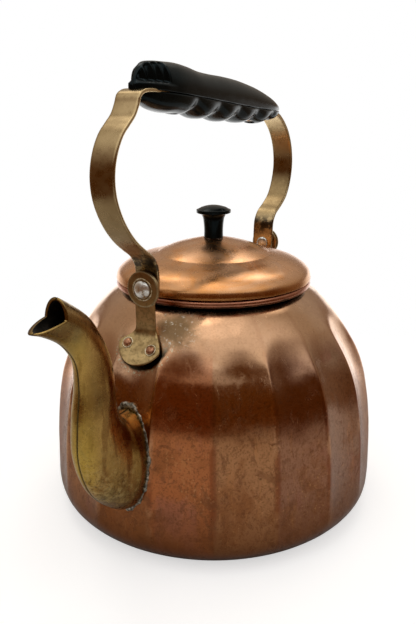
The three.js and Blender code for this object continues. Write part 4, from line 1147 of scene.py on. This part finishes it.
def brass_bracket_finish(name, light, dark, shift):
    """Dull yellow brass with rubbed high spots, dirt in small pits and a painted copper reflection on the
    neck and above.
    """
    look = Finish(name, 1.0, 0.38)
    clouds = look.noise(7, 5, 0.6, 0.5, shift=shift)
    look.colour = look.blend(light, dark, look.ramp(clouds, 0.38, 0.64))
    # Painted reflection: the copper pot's orange brown painted on the neck and everything above it.
    neck = look.ramp(look.plus(look.along("Z"), look.times(clouds, 6)), 108, 113, 0.0, 0.7)
    look.stain((0.44, 0.24, 0.09), neck)
    beside = look.vector("MULTIPLY", look.vector("SUBTRACT", look.place, (0.0, 0.0, PIVOT_HEIGHT * MM)),
                         (0.0, 1.0, 1.0))
    from_pivot = look.times(look.vector("LENGTH", beside), 1 / MM)
    worn_rim = look.ramp(look.away(from_pivot, DISC_RADIUS - 0.2), 0.6, 0.2, 0.0, 0.8)
    look.stain((0.55, 0.46, 0.27), worn_rim)
    mottle = look.ramp(look.noise(1.6, 4, 0.7, shift=shift + 5), 0.48, 0.62, 0.0, 0.6)
    look.stain((0.20, 0.14, 0.06), mottle)
    pits = look.ramp(look.cells(1.7, shift=shift + 1), 0.28, 0.10)
    pits = look.times(pits, look.ramp(look.noise(5, 3, 0.6, shift=shift + 2), 0.48, 0.6))
    look.stain((0.10, 0.08, 0.04), pits, 0.7)
    look.bump(look.noise(1.3, 5, 0.7, shift=shift + 3), 0.25, 0.08)
    look.dent(pits, 0.5, 0.10)
    return look.done(look.ramp(look.noise(3, 5, 0.6, shift=shift + 4), 0.35, 0.68, 0.30, 0.50))


def burr_finish():
    """Bright rubbed brass on the raised rings round the rivets."""
    look = Finish("rubbed burr", 1.0, 0.3)
    look.colour = look.blend((0.80, 0.72, 0.52), (0.46, 0.36, 0.20),
                             look.ramp(look.noise(1.6, 4, 0.6), 0.45, 0.6))
    look.bump(look.noise(0.7, 4, 0.6, shift=2), 0.4, 0.08)
    return look.done(look.ramp(look.noise(1.0, 4, 0.6, shift=3), 0.4, 0.6, 0.25, 0.45))


def brass_strap_finish():
    """Brown antique brass with a satin surface and rubbed edges, painted shade on the middle of each arm,
    and dirt with painted shade in the bends over the pivots.
    """
    look = Finish("antique strap brass", 1.0, 0.36)
    clouds = look.noise(16, 5, 0.6, 0.5)
    look.colour = look.blend((0.56, 0.41, 0.215), (0.44, 0.315, 0.155), look.ramp(clouds, 0.38, 0.64))
    mottle = look.noise(3.4, 5, 0.7, shift=2)
    look.stain((0.30, 0.19, 0.09), look.ramp(mottle, 0.52, 0.70, 0.0, 0.6))
    # Painted shade: darker on the middle of each arm.
    middle = look.times(look.ramp(look.along("Z"), 138, 152), look.ramp(look.along("Z"), 168, 194, 0.6, 0.0))
    look.stain((0.24, 0.155, 0.065), middle)
    edge = look.ramp(look.math("ABSOLUTE", look.along("Y")), 5.4, 6.0)
    look.stain((0.52, 0.40, 0.22), edge, look.ramp(look.noise(6, 4, 0.6, shift=3), 0.35, 0.6, 0.15, 0.8))
    # Dirt and painted shade: dark patches in the bends just above the pivots.
    crud_and_shade = look.times(look.ramp(look.along("Z"), 128, 134), look.ramp(look.along("Z"), 142, 137))
    crud_and_shade = look.times(crud_and_shade, look.ramp(look.noise(3, 4, 0.7, shift=4), 0.42, 0.55))
    look.stain((0.05, 0.04, 0.03), crud_and_shade, 0.9)
    look.bump(look.noise(1.2, 6, 0.7, shift=5), 0.22, 0.08)
    look.bump(look.noise(7, 3, 0.5, shift=6), 0.25, 0.2)
    return look.done(look.ramp(look.noise(5, 5, 0.65, shift=7), 0.35, 0.68, 0.24, 0.38))


def steel_finish():
    look = Finish("dull white metal", 1.0, 0.32)
    look.colour = look.blend((0.86, 0.85, 0.81), (0.60, 0.58, 0.52),
                             look.ramp(look.noise(2.4, 5, 0.6), 0.5, 0.72))
    look.bump(look.noise(1.3, 5, 0.7, shift=2), 0.35, 0.12)
    return look.done(look.ramp(look.noise(2, 4, 0.6, shift=3), 0.4, 0.65, 0.26, 0.45))


def solder_finish():
    """Lumpy grey solder with dark hollows and bright points."""
    look = Finish("lumpy solder", 1.0, 0.38)
    grain = look.noise(1.5, 5, 0.7)
    look.colour = look.blend((0.10, 0.09, 0.065), (0.62, 0.60, 0.52), look.ramp(grain, 0.42, 0.62))
    look.bump(grain, 0.9, 0.45)
    look.bump(look.noise(0.6, 4, 0.7, shift=2), 0.5, 0.15)
    return look.done(look.ramp(look.noise(1.0, 4, 0.6, shift=3), 0.4, 0.6, 0.28, 0.55))


def bakelite_finish():
    """Black phenolic moulding: satin gloss, faint dust and fine handling marks."""
    look = Finish("black bakelite", 0.0, 0.26, 0.18)
    look.set("Specular Tint", (0.55, 0.82, 0.92))
    dust = look.noise(12, 6, 0.7, 0.4)
    look.colour = look.blend((0.003, 0.0045, 0.005), (0.006, 0.009, 0.010), look.ramp(dust, 0.45, 0.7))
    look.bump(look.noise(0.9, 5, 0.7, shift=2), 0.10, 0.05)
    look.bump(look.noise(6, 3, 0.5, shift=3), 0.12, 0.15)
    return look.done(look.ramp(look.noise(5, 5, 0.65, shift=4), 0.38, 0.66, 0.16, 0.26))


# ------------------------------------------------------------------ the room
CAMERA_PLACE = (291.5, 164.9, 200.9)
CAMERA_TURN, CAMERA_PITCH, CAMERA_YAW, CAMERA_ROLL = 29.5, 17.17, 0.494, -0.108  # degrees
CAMERA_LENS = 38.35
FLOOR_FRONT, FLOOR_HALF_WIDTH, FLOOR_BACK = 900.0, 330.0, 280.0
FLOOR_GLOW = 0.62
FLOOR_FADE = (-0.26, -0.07)  # metres from the kettle, away from the camera, where the floor thins out
TOWARDS_CAMERA = (math.cos(math.radians(CAMERA_TURN)), math.sin(math.radians(CAMERA_TURN)), 0.0)
LAMP_PLACE, LAMP_TARGET = (100, 60, 1200), (0, 0, 100)
LAMP_SIZE, LAMP_POWER = 700, 0.6  # millimetres and watts
# The room's overhead light is a wide strip. Degrees from the near horizon up over the kettle's top.
STRIP_NEAR, STRIP_FAR = (38, 47.5), (118, 80)  # from none to full, at its near and far edges
STRIP_END = (0.92, 0.62)  # sideways share of a direction, from none to full


def make_floor():
    """A pale table top that runs towards the camera and thins out to nothing behind the kettle."""
    lengthwise = np.linspace(-FLOOR_BACK, FLOOR_FRONT, 40)
    across = np.linspace(-FLOOR_HALF_WIDTH, FLOOR_HALF_WIDTH, 24)
    rows = [np.stack([0 * across + length, across, 0 * across], -1) for length in lengthwise]
    shape = Shape().grid(rows, around=False).place(math.radians(CAMERA_TURN))
    floor = add_object("floor", shape.mesh("floor"))
    look = Finish("pale floor", 0.0, 0.6, 0.2)
    look.set("Emission Color", (1.0, 1.0, 1.0))
    look.set("Emission Strength",
             look.times(look.add("ShaderNodeLightPath").outputs["Is Camera Ray"], FLOOR_GLOW))
    look.set("Alpha", look.ramp(look.vector("DOT_PRODUCT", look.place, TOWARDS_CAMERA), *FLOOR_FADE))
    look.colour = (0.62, 0.62, 0.62)
    floor.data.materials.append(look.done())


# Soft lights that glint in the lid: elevation and heading from the camera in degrees, size, strength.
GLINTS = [(54, -148, 6, 0.9), (80, -131, 6, 0.9), (53, 152, 7, 1.0)]


def towards(elevation, heading):
    """The direction at an elevation and a heading counted from the camera's side."""
    flat = math.cos(math.radians(elevation))
    turn = math.radians(CAMERA_TURN + heading)
    return (flat * math.cos(turn), flat * math.sin(turn), math.sin(math.radians(elevation)))


def make_room_light():
    """A studio room: a soft white light overhead, a white wall behind and brown gloom in front."""
    world = bpy.data.worlds.new("studio")
    bpy.context.scene.world = world
    world.use_nodes = True
    sky = Nodes(world.node_tree)
    sky.tree.nodes.clear()
    direction = sky.add("ShaderNodeTexCoord").outputs["Generated"]
    up = sky.axis(direction, "Z")
    ahead = sky.vector("DOT_PRODUCT", direction, TOWARDS_CAMERA)
    flat = sky.vector("NORMALIZE", sky.vector("MULTIPLY", direction, (1, 1, 0)))
    facing = sky.vector("DOT_PRODUCT", flat, TOWARDS_CAMERA)
    low = sky.blend((0.11, 0.04, 0.006), (0.24, 0.15, 0.09), sky.ramp(facing, 0.30, -0.30))
    low = sky.blend(low, (1.6, 1.59, 1.57),
                    sky.times(sky.ramp(facing, -0.50, -0.84), sky.ramp(up, 0.11, 0.02)))
    high = sky.blend(low, (0.46, 0.41, 0.35),
                     sky.times(sky.ramp(up, 0.06, 0.40), sky.ramp(facing, 0.3, -0.3)))
    high = sky.blend(high, (0.46, 0.41, 0.35), sky.ramp(up, 0.75, 0.95))
    over = sky.times(sky.math("ARCTAN2", up, ahead), 180 / math.pi)
    sideways = sky.math("ABSOLUTE", sky.vector("DOT_PRODUCT", direction, towards(0, 90)))
    strip = sky.times(sky.ramp(over, *STRIP_NEAR), sky.ramp(over, *STRIP_FAR),
                      sky.ramp(sideways, *STRIP_END))
    colour = sky.blend(high, (1.0, 0.99, 0.97), strip)
    for elevation, heading, size, strength in GLINTS:
        near = sky.vector("DOT_PRODUCT", direction, towards(elevation, heading))
        edge, core = (math.cos(math.radians(part * size)) for part in (2.2, 0.4))
        share = sky.ramp(near, edge, core, 0.0, strength)
        colour = sky.blend(colour, (2.6, 2.5, 2.3), share)
    camera_ray = sky.add("ShaderNodeLightPath").outputs["Is Camera Ray"]
    unseen = sky.add("ShaderNodeBackground", {"Color": colour})
    seen = sky.add("ShaderNodeBackground", {"Color": (1.0, 1.0, 1.0)})
    chosen = sky.add("ShaderNodeMixShader", {0: camera_ray, 1: unseen.outputs[0], 2: seen.outputs[0]})
    sky.add("ShaderNodeOutputWorld", {"Surface": chosen.outputs[0]})


def make_lamp():
    """A soft square lamp high over the kettle."""
    light = bpy.data.lights.new("overhead softbox", "AREA")
    light.size = LAMP_SIZE * MM
    light.energy = LAMP_POWER
    lamp = add_object("overhead softbox", light)
    lamp.location = Vector(LAMP_PLACE) * MM
    lamp.rotation_euler = (Vector(LAMP_TARGET) - Vector(LAMP_PLACE)).to_track_quat("-Z", "Y").to_euler()


def make_camera():
    data = bpy.data.cameras.new("camera")
    data.lens = CAMERA_LENS
    data.clip_start = 0.01
    camera = add_object("camera", data)
    heading = CAMERA_TURN + 180 + CAMERA_YAW
    turned = Matrix.Rotation(math.radians(heading - 90), 4, "Z")
    tilted = Matrix.Rotation(math.radians(90 - CAMERA_PITCH), 4, "X")
    roll = Matrix.Rotation(math.radians(CAMERA_ROLL), 4, "Z")
    camera.matrix_world = Matrix.Translation(Vector(CAMERA_PLACE) * MM) @ turned @ tilted @ roll
    bpy.context.scene.camera = camera


# ------------------------------------------------------------------ everything together
def build_kettle():
    pot_copper = copper_pot_finish()
    lid_copper = copper_lid_finish()
    plate_brass = brass_bracket_finish("bracket brass", (0.60, 0.43, 0.20), (0.34, 0.23, 0.10), 1)
    disc_brass = brass_bracket_finish("disc brass", (0.20, 0.17, 0.065), (0.13, 0.105, 0.04), 21)
    rivet_copper = copper_rivet_finish()
    burr = burr_finish()
    steel = steel_finish()
    bakelite = bakelite_finish()

    make_pot(pot_copper)
    make_neck_ring(copper_ring_finish())
    make_spout(brass_spout_finish(), spout_inside_finish())
    make_spout_solder(solder_finish())
    for end, turn in (("front", 0.0), ("rear", math.pi)):
        make_bracket(end, turn, plate_brass)
        make_bracket_rivets(end, turn, rivet_copper, burr)
        make_pivot(end, turn, disc_brass, steel, burr)
    make_lid(lid_copper)
    make_lid_skirt(lid_copper)
    make_knob(bakelite)
    make_knob_fixing(steel)
    make_strap(brass_strap_finish())
    make_grip(bakelite, steel)


def build_studio():
    make_camera()
    make_floor()
    make_room_light()
    make_lamp()
    bpy.context.scene.view_settings.view_transform = "Standard"


build_kettle()
build_studio()
